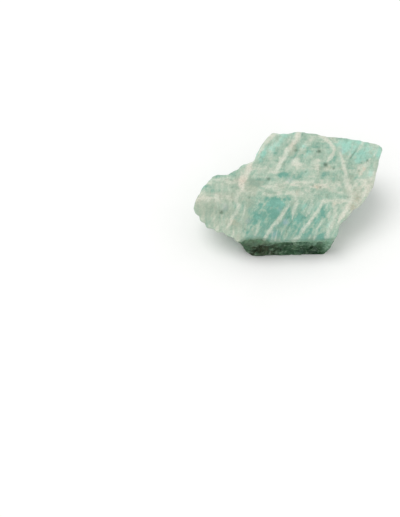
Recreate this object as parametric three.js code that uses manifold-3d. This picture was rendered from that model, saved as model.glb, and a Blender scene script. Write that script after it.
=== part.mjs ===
// Rough amazonite stone.
//
// One broken piece of blue-green microcline feldspar, as it comes from the
// rock. A broad cleavage face leans back from a low front edge; the walls
// behind it follow feldspar's second cleavage, close to a right angle to that
// face, and the stone rests on one flat break.
//
// Millimetres, +Z up. X runs along the broad face, Y runs from its low front
// edge to the back. The origin is the middle of the stone's footprint box, on
// the surface that it rests on.

import * as THREE from 'three';
import { mergeVertices } from 'three/addons/utils/BufferGeometryUtils.js';
import Module from 'manifold-3d';

// ---------------------------------------------------------------- dimensions
const FACE_TILT = 32;                       // broad face, degrees from level
const FACE_POINT = [-0.6, 12.78, 18.58];    // a point on it, in the working frame
const WALL_RUN = [0.0718, 0.6032, -0.7944]; // the way the walls run back from the rim
const WALL_TAPER = 8.5;                     // degrees that the walls close in
const RIM_STEP = 1.5;                       // spacing of the rim's points
const RIM_SOFTEN = 0.30;                    // how fast the rim's teeth fade with depth
const FRONT_TOP = [0, -1.0, 10.0];          // where the low front face meets the broad one
const LOBE_DROP = 0.085;                    // slope by which the left lobe falls away
const LOBE_FROM = -11;                      // and the place where that starts
const EDGE = 2.0;                           // longest triangle edge
const ROUGH_LARGE = 0.55;                   // height of the swells, 9 mm long
const ROUGH_SMALL = 0.22;                   // height of the fine breaks, 3 mm long
const COLOUR = 0x86bfae;

// Rim of the broad face, in its own plane: u to the right, v up the slope.
const RIM = [
  [-9.43, 12.58], [-10.13, 11.50], [-10.42, 10.35], [-11.06, 9.20], [-12.72, 8.49], [-14.12, 8.21],
  [-15.27, 7.57], [-15.78, 6.64], [-17.24, 6.16], [-18.39, 5.49], [-19.41, 4.92], [-21.22, 4.92],
  [-22.37, 5.08], [-23.93, 4.53], [-24.95, 3.80], [-25.49, 2.78], [-26.06, 2.07], [-26.92, 1.37],
  [-27.62, 0.38], [-28.13, -0.89], [-28.74, -1.69], [-29.40, -3.00], [-29.98, -4.46], [-30.20, -5.93],
  [-29.62, -7.40], [-28.35, -8.35], [-28.05, -9.90], [-26.60, -10.60], [-25.90, -12.10], [-24.10, -12.35],
  [-22.60, -13.55], [-20.55, -13.60], [-19.30, -14.85], [-17.55, -15.10], [-16.45, -16.60], [-15.05, -16.95],
  [-14.20, -18.60], [-13.30, -19.55], [-13.00, -21.60], [-13.20, -27.00],
  [13.00, -27.00], [12.70, -21.20],
  [13.49, -18.25], [14.16, -16.82], [14.96, -15.52], [15.60, -14.85], [15.95, -13.89], [16.18, -12.43],
  [16.60, -11.28], [17.43, -10.14], [18.86, -9.50], [19.54, -8.35], [20.18, -6.89], [20.69, -6.41],
  [22.47, -5.61], [23.91, -4.24], [25.03, -2.93], [26.03, -1.21], [26.80, 0.06], [27.37, 1.18],
  [27.79, 2.33], [27.89, 3.48], [28.13, 5.11], [28.64, 6.58], [28.97, 7.89], [29.13, 9.04],
  [29.46, 10.31], [29.94, 11.63], [30.30, 12.78], [30.11, 13.77], [29.32, 14.38], [27.70, 14.89],
  [25.44, 15.34], [23.14, 15.82], [21.20, 16.17], [19.10, 16.49], [17.12, 16.71], [15.18, 16.90],
  [13.08, 16.97], [11.45, 17.29], [10.31, 17.54], [9.29, 17.90], [7.85, 18.09], [6.42, 18.12],
  [5.02, 18.63], [3.59, 18.76], [2.15, 18.63], [0.17, 18.12], [-1.26, 18.22], [-3.52, 18.28],
  [-4.67, 18.34], [-5.53, 17.93], [-6.36, 17.06], [-7.23, 16.01], [-7.93, 15.02], [-8.66, 13.93],
];

// Walls behind the rim: each runs back from a line across the broad face's
// plane, just outside the rim, and leans in from the walls' run by an angle.
const WALLS = [
  { name: 'right wall, low', from: [12.6, -21.6], to: [25.9, -3.2], lean: 6 },
  { name: 'right wall, high', from: [26.2, -2.6], to: [31.0, 12.9], lean: 14 },
  { name: 'right corner', from: [31.0, 12.4], to: [28.6, 15.9], lean: 15 },
  { name: 'back wall', from: [29.9, 15.5], to: [3.6, 19.5], lean: 11 },
  { name: 'back wall, left', from: [4.4, 19.4], to: [-5.4, 18.9], lean: 14 },
  { name: 'left back wall', from: [-4.2, 19.2], to: [-22.9, 5.7], lean: 12 },
  { name: 'lobe back wall', from: [-22.5, 6.2], to: [-29.2, -0.7], lean: 17 },
  { name: 'lobe end', from: [-28.7, -0.3], to: [-31.2, -6.4], lean: 18 },
  { name: 'lobe underside, end', from: [-30.8, -5.6], to: [-27.4, -12.0], lean: 27 },
  { name: 'lobe underside', from: [-27.6, -11.7], to: [-12.6, -22.4], lean: 8 },
];

// Other breaks: an outward direction and a point on each plane. Where there is
// more than one plane, only what lies past all of them is gone, which leaves a
// ledge or a step and keeps the rim whole.
const BREAKS = [
  { name: 'low front', planes: [{ n: [0.030, -0.9945, -0.100], p: FRONT_TOP }] },
  { name: 'right heel', planes: [{ n: [0.790, 0.060, -0.610], p: [23.4, 30.0, 4.0] }] },
  { name: 'back heel', planes: [{ n: [-0.100, 0.700, -0.707], p: [4.0, 39.0, 3.0] }] },
  { name: 'left heel', planes: [{ n: [-0.820, 0.420, -0.390], p: [-22.0, 28.0, 4.0] }] },
  { name: 'sole, back', planes: [{ n: [-0.060, 0.330, -0.942], p: [2.0, 28.6, 0.0] }] },
  { name: 'sole, left', planes: [{ n: [-0.400, 0.120, -0.909], p: [-12.8, 14.0, 0.0] }] },
  { name: 'sole, right', planes: [{ n: [0.400, 0.060, -0.915], p: [15.0, 16.0, 0.0] }] },
  { name: 'back step', planes: [
    { n: [0.200, 0.850, 0.487], p: [8.5, 33.3, 14.0] },
    { n: [0.970, -0.100, -0.220], p: [8.5, 33.3, 14.0] },
    { n: [0.050, 0.420, -0.906], p: [12.0, 31.0, 18.5] }] },
  { name: 'left step', planes: [
    { n: [-0.560, 0.700, 0.443], p: [-15.5, 24.0, 11.0] },
    { n: [-0.620, -0.500, -0.605], p: [-12.5, 24.5, 12.0] },
    { n: [0.000, 0.470, -0.883], p: [-14.0, 22.5, 14.2] }] },
  { name: 'right step', planes: [
    { n: [0.900, -0.330, -0.285], p: [20.2, 17.5, 9.0] },
    { n: [0.130, 0.900, -0.416], p: [20.2, 18.0, 9.0] },
    { n: [0.300, 0.420, -0.856], p: [22.0, 17.5, 13.2] }] },
];

// --------------------------------------------------------------------- noise
function hash(ix, iy, iz) {
  let h = (ix * 374761393 + iy * 668265263 + iz * 1274126177) | 0;
  h = Math.imul(h ^ (h >>> 13), 1274126177);
  h = Math.imul(h ^ (h >>> 15), 2246822519);
  return ((h ^ (h >>> 16)) >>> 0) / 4294967295 * 2 - 1;
}
const ease = t => t * t * t * (t * (t * 6 - 15) + 10);
function noise(x, y, z) {
  const ix = Math.floor(x), iy = Math.floor(y), iz = Math.floor(z);
  const a = ease(x - ix), b = ease(y - iy), c = ease(z - iz);
  const mix = (p, q, t) => p + (q - p) * t;
  const row = (j, k) => mix(hash(ix, iy + j, iz + k), hash(ix + 1, iy + j, iz + k), a);
  return mix(mix(row(0, 0), row(1, 0), b), mix(row(0, 1), row(1, 1), b), c);
}

// ---------------------------------------------------------------- frame of the broad face
const tilt = THREE.MathUtils.degToRad(FACE_TILT);
const N = new THREE.Vector3(0, -Math.sin(tilt), Math.cos(tilt));   // out of the face
const UP = new THREE.Vector3(0, Math.cos(tilt), Math.sin(tilt));   // up its slope
const RIGHT = new THREE.Vector3(1, 0, 0);
const O = new THREE.Vector3(...FACE_POINT);
const RUN = new THREE.Vector3(...WALL_RUN).normalize();
const onFace = (u, v) => O.clone().addScaledVector(RIGHT, u).addScaledVector(UP, v);

// ---------------------------------------------------------------- rim, evenly spaced
function evenly(points, step) {
  const loop = points.map(([u, v]) => new THREE.Vector2(u, v));
  const out = [];
  for (let i = 0; i < loop.length; i++) {
    const a = loop[i], b = loop[(i + 1) % loop.length];
    const k = Math.max(1, Math.round(a.distanceTo(b) / step));
    const across = new THREE.Vector2(a.y - b.y, b.x - a.x).normalize();
    for (let j = 0; j < k; j++) {
      const tooth = j === 0 ? 0 : 0.08 * (1.5 + hash(i, j, 5));   // a break has no straight edge
      out.push(a.clone().lerp(b, j / k).addScaledVector(across, tooth));
    }
  }
  return out;
}

// A ring of the wall: the rim softened over a length, then drawn inwards.
function ring(rim, soften, inset) {
  const m = rim.length;
  const gap = rim.map((p, i) => p.distanceTo(rim[(i + 1) % m]));
  const reach = Math.min(Math.floor(m / 3), Math.ceil(soften * 3 / RIM_STEP) + 1);
  const soft = rim.map((p, i) => {
    if (soften < 0.05) return p.clone();
    let w = 1, x = p.x, y = p.y, d = 0;
    for (let j = 1; j <= reach; j++) {
      d += gap[(i + j - 1) % m];
      const g = Math.exp(-0.5 * (d / soften) ** 2);
      const q = rim[(i + j) % m];
      w += g; x += g * q.x; y += g * q.y;
    }
    d = 0;
    for (let j = 1; j <= reach; j++) {
      d += gap[(i - j + m) % m];
      const g = Math.exp(-0.5 * (d / soften) ** 2);
      const q = rim[(i - j + m) % m];
      w += g; x += g * q.x; y += g * q.y;
    }
    return new THREE.Vector2(x / w, y / w);
  });
  return soft.map((p, i) => {
    const a = soft[(i - 1 + m) % m], b = soft[(i + 1) % m];
    const t = b.clone().sub(a).normalize();
    // The front end of the rim keeps its width, so the low face stays as wide.
    const keep = THREE.MathUtils.smoothstep(rim[i].y, -17, -9);
    return new THREE.Vector2(p.x - t.y * inset * keep, p.y + t.x * inset * keep);
  });
}

// ---------------------------------------------------------------- the block
function block() {
  let rim = evenly(RIM, RIM_STEP);
  if (THREE.ShapeUtils.area(rim) < 0) rim = rim.reverse();   // anticlockwise seen from outside
  const depths = [0, 1.2, 2.6, 4.5, 7, 10, 14, 19, 25, 32, 40];
  const slope = Math.tan(THREE.MathUtils.degToRad(WALL_TAPER));
  const m = rim.length, pos = [], idx = [];
  depths.forEach(d => {
    for (const p of ring(rim, Math.min(7, d * RIM_SOFTEN), d * slope)) {
      const q = onFace(p.x, p.y).addScaledVector(RUN, d);
      pos.push(q.x, q.y, q.z);
    }
  });
  for (let k = 0; k + 1 < depths.length; k++) {
    for (let i = 0; i < m; i++) {
      const a = k * m + i, b = k * m + (i + 1) % m, c = a + m, e = b + m;
      idx.push(a, c, b, b, c, e);
    }
  }
  const first = THREE.ShapeUtils.triangulateShape(rim, []);
  for (const [a, b, c] of first) idx.push(a, b, c);
  const last = (depths.length - 1) * m, middle = pos.length / 3;
  const centre = new THREE.Vector3();
  for (let i = 0; i < m; i++) centre.add(new THREE.Vector3().fromArray(pos, (last + i) * 3));
  pos.push(...centre.divideScalar(m).toArray());
  for (let i = 0; i < m; i++) idx.push(last + (i + 1) % m, last + i, middle);
  const g = new THREE.BufferGeometry();
  g.setAttribute('position', new THREE.Float32BufferAttribute(pos, 3));
  g.setIndex(idx);
  return g;
}

// A big box whose one face lies on a plane, with its body on the outer side.
function beyond(n, p, size = 160) {
  const g = new THREE.BoxGeometry(size, size, size);
  g.translate(0, 0, size / 2);
  const q = new THREE.Quaternion().setFromUnitVectors(new THREE.Vector3(0, 0, 1), new THREE.Vector3(...n).normalize());
  g.applyQuaternion(q);
  g.translate(...p);
  return g;
}

// ---------------------------------------------------------------- cutting
const wasm = await Module();
wasm.setup();

function solid(geometry) {
  const g = geometry.clone();
  g.deleteAttribute('normal');
  g.deleteAttribute('uv');
  const w = mergeVertices(g, 1e-5);
  return new wasm.Manifold(new wasm.Mesh({
    numProp: 3,
    vertProperties: new Float32Array(w.attributes.position.array),
    triVerts: new Uint32Array(w.index.array),
  }));
}

function wall({ from, to, lean }) {
  const a = onFace(...from), b = onFace(...to);
  const inward = N.clone().cross(b.clone().sub(a)).normalize();
  const way = RUN.clone().addScaledVector(inward, Math.tan(THREE.MathUtils.degToRad(lean)));
  const n = way.clone().cross(b.clone().sub(a)).normalize();
  if (n.dot(inward) > 0) n.negate();
  return beyond(n.toArray(), a.toArray());
}

let body = solid(block());
for (const w of WALLS) body = body.subtract(solid(wall(w)));
for (const cut of BREAKS) {
  let gone = null;
  for (const { n, p } of cut.planes) {
    const past = solid(beyond(n, p));
    gone = gone ? gone.intersect(past) : past;
  }
  body = body.subtract(gone);
}
body = body.subtract(solid(beyond([0, 0, -1], [0, 0, 0])));   // the flat that it rests on

// ---------------------------------------------------------------- even mesh
const faceNormal = (P, a, b, c) => P[b].clone().sub(P[a]).cross(P[c].clone().sub(P[a]));

// Splits every edge over the longest length, by turning each triangle until its
// first edge is one to split and its last is not.
function split(P, faces, longest) {
  const mid = new Map();
  const far = (a, b) => P[a].distanceTo(P[b]) > longest;
  const half = (a, b) => {
    const key = a < b ? a * 1e6 + b : b * 1e6 + a;
    if (!mid.has(key)) { mid.set(key, P.length); P.push(P[a].clone().lerp(P[b], 0.5)); }
    return mid.get(key);
  };
  const next = [];
  for (const [a, b, c] of faces) {
    const k = far(a, b) + far(b, c) + far(c, a);
    if (k === 0) { next.push([a, b, c]); continue; }
    if (k === 3) {
      const ab = half(a, b), bc = half(b, c), ca = half(c, a);
      next.push([a, ab, ca], [ab, b, bc], [ca, bc, c], [ab, bc, ca]);
      continue;
    }
    let t = [a, b, c];
    while (!(far(t[0], t[1]) && !far(t[2], t[0]))) t = [t[1], t[2], t[0]];
    const [p, q, r] = t;
    const pq = half(p, q);
    if (k === 1) { next.push([p, pq, r], [pq, q, r]); continue; }
    const qr = half(q, r);
    next.push([pq, q, qr]);
    if (P[pq].distanceTo(P[r]) < P[p].distanceTo(P[qr])) next.push([p, pq, r], [pq, qr, r]);
    else next.push([p, pq, qr], [p, qr, r]);
  }
  return next;
}

// Draws every edge under the shortest length together, where that turns no face.
function gather(P, faces, shortest) {
  const around = P.map(() => new Set());
  faces.forEach((f, i) => f.forEach(v => around[v].add(i)));
  const near = v => { const s = new Set(); for (const i of around[v]) for (const w of faces[i]) if (w !== v) s.add(w); return s; };
  for (let i = 0; i < faces.length; i++) {
    for (let k = 0; k < 3; k++) {
      if (!faces[i]) break;
      let a = faces[i][k], b = faces[i][(k + 1) % 3];
      if (P[a].distanceTo(P[b]) > shortest) continue;
      const na = near(a), nb = near(b);
      if ([...na].filter(v => nb.has(v)).length !== 2) continue;
      for (let turn = 0; turn < 2; turn++, [a, b] = [b, a]) {
        let good = true;
        for (const j of around[a]) {
          if (faces[j].includes(b)) continue;
          const before = faceNormal(P, ...faces[j]);
          const after = faceNormal(P, ...faces[j].map(v => v === a ? b : v));
          const size = after.length();
          if (size < 0.02 || (before.length() > 1e-4 && after.dot(before) < 0.985 * size * before.length())
              || faces[j].some(v => v !== a && P[v].distanceTo(P[b]) > EDGE * 1.3)) { good = false; break; }
        }
        if (!good) continue;
        for (const j of [...around[a]]) {
          if (faces[j].includes(b)) { faces[j].forEach(v => around[v].delete(j)); faces[j] = null; }
          else { faces[j] = faces[j].map(v => v === a ? b : v); around[b].add(j); }
        }
        around[a].clear();
        break;
      }
    }
  }
  return faces.filter(Boolean);
}

// Turns the diagonal of two flat neighbours where that makes rounder triangles.
function turn(P, faces) {
  for (let pass = 0; pass < 4; pass++) {
    const sides = new Map();
    faces.forEach(([a, b, c], i) => { for (const [p, q] of [[a, b], [b, c], [c, a]]) sides.set(p * 1e6 + q, i); });
    const busy = new Set();
    let turned = 0;
    for (const [key, i] of sides) {
      const a = Math.floor(key / 1e6), b = key % 1e6;
      const j = sides.get(b * 1e6 + a);
      if (a > b || j === undefined || busy.has(i) || busy.has(j)) continue;
      const c = faces[i].find(v => v !== a && v !== b), d = faces[j].find(v => v !== a && v !== b);
      if (sides.has(c * 1e6 + d) || sides.has(d * 1e6 + c)) continue;
      const n1 = faceNormal(P, ...faces[i]), n2 = faceNormal(P, ...faces[j]);
      const m1 = faceNormal(P, a, d, c), m2 = faceNormal(P, d, b, c);
      const flat = n1.length() < 1e-3 || n2.length() < 1e-3 || n1.dot(n2) > 0.998 * n1.length() * n2.length();
      const way = n1.clone().add(n2);
      if (!flat || m1.dot(way) <= 0.9 * m1.length() * way.length() || m2.dot(way) <= 0.9 * m2.length() * way.length()) continue;
      const angle = (p, q, r) => P[q].clone().sub(P[p]).angleTo(P[r].clone().sub(P[p]));
      if (angle(c, a, b) + angle(d, a, b) <= Math.PI + 1e-3) continue;
      faces[i] = [a, d, c]; faces[j] = [d, b, c];
      sides.set(c * 1e6 + d, -1);
      busy.add(i); busy.add(j); turned++;
    }
    if (!turned) break;
  }
  return faces;
}

const cutMesh = body.getMesh();
const points = [];
for (let i = 0; i < cutMesh.vertProperties.length; i += cutMesh.numProp) {
  points.push(new THREE.Vector3(cutMesh.vertProperties[i], cutMesh.vertProperties[i + 1], cutMesh.vertProperties[i + 2]));
}
let faces = [];
for (let i = 0; i < cutMesh.triVerts.length; i += 3) faces.push([...cutMesh.triVerts.slice(i, i + 3)]);
for (let pass = 0; pass < 4; pass++) {
  faces = turn(points, gather(points, faces, EDGE * 0.45));
  for (let k = 0; k < 3; k++) faces = turn(points, split(points, faces, EDGE * (pass < 3 ? 1.5 : 1.3)));
}
faces = turn(points, gather(points, faces, EDGE * 0.45));

// ---------------------------------------------------------------- broken surface
const normals = points.map(() => new THREE.Vector3());
for (const [a, b, c] of faces) {
  const n = points[b].clone().sub(points[a]).cross(points[c].clone().sub(points[a]));
  for (const i of [a, b, c]) normals[i].add(n);
}
const placed = points.map((p, i) => {
  if (p.z < 0.02) return p.clone().setZ(0);
  const rel = p.clone().sub(O);
  const u = rel.dot(RIGHT), v = rel.dot(UP), w = -rel.dot(N);
  // Near the broad face the swells go straight out of it, so the rim stays put.
  const n = N.clone().lerp(normals[i].clone().normalize(), THREE.MathUtils.smoothstep(w, 0.6, 5)).normalize();
  const fade = Math.min(1, p.z / 2.5);
  const h = ROUGH_LARGE * noise(p.x / 9 + 3.1, p.y / 9 + 7.7, p.z / 9 + 1.3)
          + ROUGH_SMALL * noise(p.x / 3 + 11.9, p.y / 3 + 2.4, p.z / 3 + 5.8);
  const q = p.clone().addScaledVector(n, (h - 0.15) * fade);
  // the left lobe falls away from the broad face, and the far right edge a little
  const near = Math.exp(-Math.max(0, w) / 12) * fade;
  const drop = LOBE_DROP * Math.max(0, LOBE_FROM - u) + 0.05 * Math.max(0, u - 21);
  q.addScaledVector(N, -drop * near);
  if (q.z < 0.03) q.z = 0.03;
  return q;
});

// ---------------------------------------------------------------- place and colour
const used = [...new Set(faces.flat())].sort((a, b) => a - b);
const rank = new Map(used.map((v, i) => [v, i]));
const shell = used.map(v => placed[v]);
const box = new THREE.Box3().setFromPoints(shell);
const shift = new THREE.Vector3(-(box.min.x + box.max.x) / 2, -(box.min.y + box.max.y) / 2, -box.min.z);
const geometry = new THREE.BufferGeometry();
geometry.setAttribute('position', new THREE.Float32BufferAttribute(shell.flatMap(p => p.toArray()), 3));
geometry.setIndex(faces.flat().map(v => rank.get(v)));
geometry.computeVertexNormals();

const stone = new THREE.Mesh(geometry, new THREE.MeshStandardMaterial({
  name: 'amazonite', color: COLOUR, roughness: 0.62, metalness: 0, flatShading: true,
}));
stone.name = 'amazonite_stone';
stone.position.copy(shift);

const part = new THREE.Group();
part.name = 'rough_amazonite_stone';
part.add(stone);

export default part;
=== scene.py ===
import math

import bpy
import numpy as np
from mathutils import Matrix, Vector
from mathutils.bvhtree import BVHTree


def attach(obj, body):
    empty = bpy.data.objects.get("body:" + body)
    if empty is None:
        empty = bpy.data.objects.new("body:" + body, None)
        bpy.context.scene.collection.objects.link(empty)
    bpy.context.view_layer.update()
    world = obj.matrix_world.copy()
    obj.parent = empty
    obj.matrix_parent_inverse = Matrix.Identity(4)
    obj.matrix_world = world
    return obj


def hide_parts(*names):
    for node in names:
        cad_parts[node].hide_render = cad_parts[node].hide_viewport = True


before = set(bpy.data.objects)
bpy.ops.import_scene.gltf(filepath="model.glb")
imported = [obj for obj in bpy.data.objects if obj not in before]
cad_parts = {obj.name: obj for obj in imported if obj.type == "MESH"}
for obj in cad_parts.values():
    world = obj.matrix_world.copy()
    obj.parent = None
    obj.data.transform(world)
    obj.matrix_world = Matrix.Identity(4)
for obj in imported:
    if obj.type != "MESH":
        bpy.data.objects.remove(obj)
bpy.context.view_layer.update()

# ----------------------------------------------------------------------------
# Numbers. Work is done in millimetres, in the stone's working frame: X along the
# broad face, Y away from the camera, Z up. SHIFT takes it to the row's frame.
# ----------------------------------------------------------------------------
SHIFT = np.array([0.5500, -19.3601, 0.0])
TILT = math.radians(32.0)
RIGHT = np.array([1.0, 0.0, 0.0])
N = np.array([0.0, -math.sin(TILT), math.cos(TILT)])       # out of the broad face
UP = np.array([0.0, math.cos(TILT), math.sin(TILT)])       # up its slope
O = np.array([-0.6, 12.78, 18.58])                         # a point on it
FRONT_N = np.array([0.030, -0.9945, -0.100])               # out of the low front break
FRONT_P = np.array([0.0, -1.0, 10.0])                      # a point on it
COARSE = 0.35          # voxel of the first remesh
FINE = 0.30            # voxel of the last one
STREAK_WAY = math.radians(56)                              # how the streaks run on the broad face
LENS, PITCH = 85.0, 56.0
CAMERA = np.array([-28.6, -222.52, 328.446])               # working frame, mm

# Markings on the broad face, in its own plane (u right, v up the slope, mm).
# Albite streaks: centre line, half width at the start and at the end, strength,
# and which ends stay blunt (s, e) because they run out over the rim.
STREAKS = [
    ([(4.6, 20.3), (3.6, 18.5), (3.0, 17.1), (1.6, 15.0), (0.7, 13.6), (-0.1, 12.6), (-0.7, 11.1), (-1.7, 9.8), (-2.6, 8.5), (-3.3, 7.1), (-3.7, 5.7)], 0.95, 0.62, 0.86, "s"),
    ([(-10.9, 10.2), (-11.9, 8.2), (-13.0, 6.1), (-13.7, 4.7), (-14.7, 2.9), (-14.7, 1.5), (-14.6, 0.1)], 0.85, 0.95, 0.92, "s"),
    ([(-14.6, 0.1), (-13.0, -0.7), (-11.6, -0.2)], 0.70, 0.40, 0.42, "s"),
    ([(-14.6, 0.1), (-16.3, -1.2), (-16.6, -2.5), (-15.9, -5.3), (-16.6, -6.9), (-17.4, -8.2), (-18.2, -9.5), (-19.4, -11.8)], 0.80, 0.60, 0.56, "s"),
    ([(0.9, -3.4), (0.7, -4.0), (-0.7, -6.2), (-2.1, -8.2), (-3.7, -10.3), (-5.1, -11.9), (-6.3, -13.6), (-7.4, -15.4), (-8.6, -17.8)], 0.50, 0.72, 0.60, "e"),
    ([(3.0, -1.2), (2.8, -3.0), (2.2, -5.3), (1.7, -7.2), (1.2, -8.9)], 0.80, 0.50, 0.60, "s"),
    ([(11.3, -3.0), (10.9, -3.8), (9.5, -6.6), (8.0, -8.7), (6.4, -10.6), (4.9, -12.6), (3.5, -14.4), (2.0, -16.0), (0.4, -18.2)], 0.52, 0.78, 0.66, "e"),
    ([(11.3, -8.5), (10.3, -10.8), (9.3, -12.7), (8.5, -14.7), (7.6, -16.6)], 0.32, 0.46, 0.52, ""),
    ([(20.6, -2.4), (20.0, -3.6), (18.9, -5.3), (17.9, -6.9), (16.8, -8.5), (15.8, -10.3)], 0.85, 0.55, 0.80, ""),
    ([(15.2, -3.3), (15.0, -5.3), (15.0, -7.2), (14.8, -9.2), (14.5, -10.8)], 0.60, 0.60, 0.60, ""),
    ([(14.3, -10.4), (13.8, -11.4), (12.9, -13.1), (12.2, -15.0), (11.8, -16.4)], 0.75, 0.70, 0.66, "s"),
    ([(-9.3, -3.3), (-9.8, -4.9), (-10.6, -6.9)], 0.65, 0.42, 0.50, ""),
    ([(-8.9, -10.1), (-9.7, -12.3), (-10.3, -13.9), (-11.6, -17.4)], 0.45, 0.62, 0.46, "e"),
    ([(10.9, 17.6), (11.5, 16.7), (13.2, 15.4), (14.4, 13.9), (14.8, 12.9), (14.2, 11.3), (13.2, 10.2), (12.4, 9.2)], 0.90, 0.50, 0.74, "s"),
    ([(16.6, 12.2), (17.0, 10.8), (17.3, 9.7), (17.7, 8.0), (18.2, 6.4), (18.6, 4.5), (19.0, 2.5), (19.7, 0.2), (20.2, -1.6)], 0.55, 1.20, 0.64, "e"),
    ([(24.0, 15.8), (23.6, 14.6), (22.7, 13.3), (21.9, 12.0)], 0.45, 0.26, 0.55, "s"),
    ([(28.9, 15.6), (28.5, 14.0), (28.0, 12.4), (27.5, 11.2)], 0.80, 0.40, 0.58, "s"),
    ([(26.4, 10.4), (24.9, 8.4), (24.1, 7.1), (23.3, 6.1), (22.6, 4.4)], 0.45, 0.85, 0.66, ""),
    ([(-3.4, 18.8), (-5.7, 16.8), (-7.2, 15.1), (-8.2, 13.4), (-9.2, 11.6)], 0.95, 0.60, 0.78, "s"),
    ([(-4.6, 12.4), (-4.9, 11.4), (-5.3, 10.2), (-5.7, 8.5)], 0.34, 0.52, 0.40, ""),
    ([(-1.5, 4.4), (-2.0, 3.2), (-2.9, 1.9)], 0.42, 0.50, 0.30, ""),
    ([(9.4, 9.2), (9.0, 8.0), (8.8, 6.6)], 0.60, 0.50, 0.45, ""),
    ([(2.5, 9.0), (3.2, 8.3)], 1.10, 1.00, 0.86, "se"),
    ([(8.2, 8.9), (9.4, 8.0), (9.6, 6.6)], 0.90, 0.75, 0.62, "s"),
    ([(-4.9, -12.9), (-5.0, -14.2), (-5.4, -16.6)], 0.18, 0.28, 0.36, "e"),
    ([(-3.3, -12.0), (-3.6, -13.6), (-4.2, -16.2)], 0.20, 0.28, 0.48, "e"),
    ([(-1.9, -12.4), (-2.2, -14.0), (-2.8, -16.0)], 0.18, 0.26, 0.40, "e"),
    ([(-0.5, -13.4), (-0.9, -14.6), (-1.5, -16.6)], 0.18, 0.24, 0.30, "e"),
    ([(20.9, 15.4), (20.2, 13.0), (19.6, 11.4)], 0.30, 0.25, 0.35, "s"),
    ([(5.4, 12.2), (5.0, 10.6), (5.6, 9.2)], 0.35, 0.35, 0.40, ""),
    ([(6.6, -3.6), (5.9, -5.2), (5.1, -6.7)], 0.36, 0.30, 0.42, ""),
    ([(12.6, -3.8), (12.3, -5.8), (11.8, -7.4)], 0.34, 0.28, 0.42, ""),
    ([(-7.3, 5.6), (-8.0, 4.3), (-8.9, 2.8)], 0.35, 0.30, 0.32, ""),
    ([(8.0, -12.9), (7.1, -14.4), (6.2, -15.9)], 0.25, 0.28, 0.38, ""),
    ([(21.6, 7.4), (21.0, 6.0), (20.9, 4.6)], 0.40, 0.35, 0.35, ""),
    ([(4.6, 4.6), (4.0, 3.6), (3.2, 2.9)], 0.30, 0.30, 0.30, ""),
    ([(-24.6, 3.0), (-24.9, 1.0), (-25.3, -1.0)], 0.30, 0.30, 0.30, ""),
    ([(-13.6, -5.0), (-14.0, -7.6), (-14.9, -9.6)], 0.55, 0.50, 0.48, ""),
    ([(13.5, -6.2), (13.1, -8.0), (12.7, -9.8)], 0.50, 0.45, 0.55, ""),
    ([(7.7, -3.2), (7.2, -5.0), (6.5, -6.6), (5.6, -8.3)], 0.75, 0.45, 0.60, ""),
    ([(0.9, 17.2), (0.2, 15.6), (-0.8, 14.0)], 0.50, 0.40, 0.45, "s"),
]
# Wide pale bands that cross the streaks.
BANDS = [
    ([(-8.2, 1.2), (-5.4, 1.2), (-2.5, 1.0), (1.3, 1.9), (5.1, 1.9), (9.6, 1.6), (13.4, 1.9), (18.1, 1.3)], 0.90, 1.05, 0.84),
    ([(-12.8, -1.0), (-10.9, -1.4)], 0.80, 0.80, 0.38),
    ([(-7.6, -1.2), (-5.1, -1.2), (-1.0, -0.2), (2.9, -1.2), (5.4, -1.8)], 0.75, 0.95, 0.68),
    ([(-11.4, 6.7), (-7.0, 6.7), (-4.4, 5.9), (-0.9, 7.0), (3.8, 7.2), (8.0, 6.4), (13.9, 7.1)], 0.80, 0.70, 0.50),
    ([(-29.0, -2.8), (-26.4, -2.4), (-23.2, -2.6), (-20.6, -2.6), (-17.2, -2.5)], 1.45, 1.10, 0.88),
    ([(-26.4, 2.5), (-24.2, 3.2), (-21.0, 3.2), (-17.8, 2.7), (-15.6, 3.4)], 0.80, 0.90, 0.66),
    ([(11.1, -3.3), (14.9, -3.7), (18.4, -3.4), (21.4, -3.2)], 0.80, 1.00, 0.78),
    ([(22.2, 1.8), (22.6, -1.4), (21.2, -5.2)], 1.40, 1.10, 0.95),
    ([(12.6, 6.9), (14.6, 6.3)], 0.70, 0.60, 0.55),
    ([(14.4, 16.5), (15.8, 15.6)], 0.90, 0.70, 0.60),
    ([(13.2, -0.2), (15.2, 0.2)], 0.70, 0.60, 0.45),
    ([(21.0, 1.0), (22.8, 2.4), (25.2, 2.8)], 1.70, 1.50, 0.62),
    ([(9.4, 9.6), (9.1, 7.6), (9.4, 5.6)], 1.00, 1.05, 0.92),
    ([(27.0, 3.4), (25.6, 0.8), (23.6, -1.4)], 1.40, 1.20, 0.90),
    ([(22.6, 7.4), (24.8, 6.4)], 0.90, 0.90, 0.60),
    ([(-8.9, 14.6), (-6.3, 17.0), (-3.9, 18.0)], 1.20, 0.90, 0.45),
    ([(6.0, 15.2), (8.6, 16.4), (10.9, 16.6)], 1.10, 0.80, 0.45),
    ([(-20.4, -9.4), (-17.7, -10.4), (-15.2, -9.8)], 0.90, 0.80, 0.40),
    ([(17.2, -5.6), (18.2, -7.2)], 1.00, 0.80, 0.45),
    ([(7.4, 4.0), (9.4, 4.0)], 0.60, 0.60, 0.30),
    ([(7.0, -1.2), (5.2, 0.4)], 0.70, 0.60, 0.50),
    ([(-17.4, -1.0), (-14.0, 0.0), (-11.0, 0.2), (-8.6, 0.0)], 0.95, 0.85, 0.60),
    ([(16.4, -0.8), (19.0, -0.4), (22.0, -0.8)], 0.90, 0.90, 0.50),
]
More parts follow.
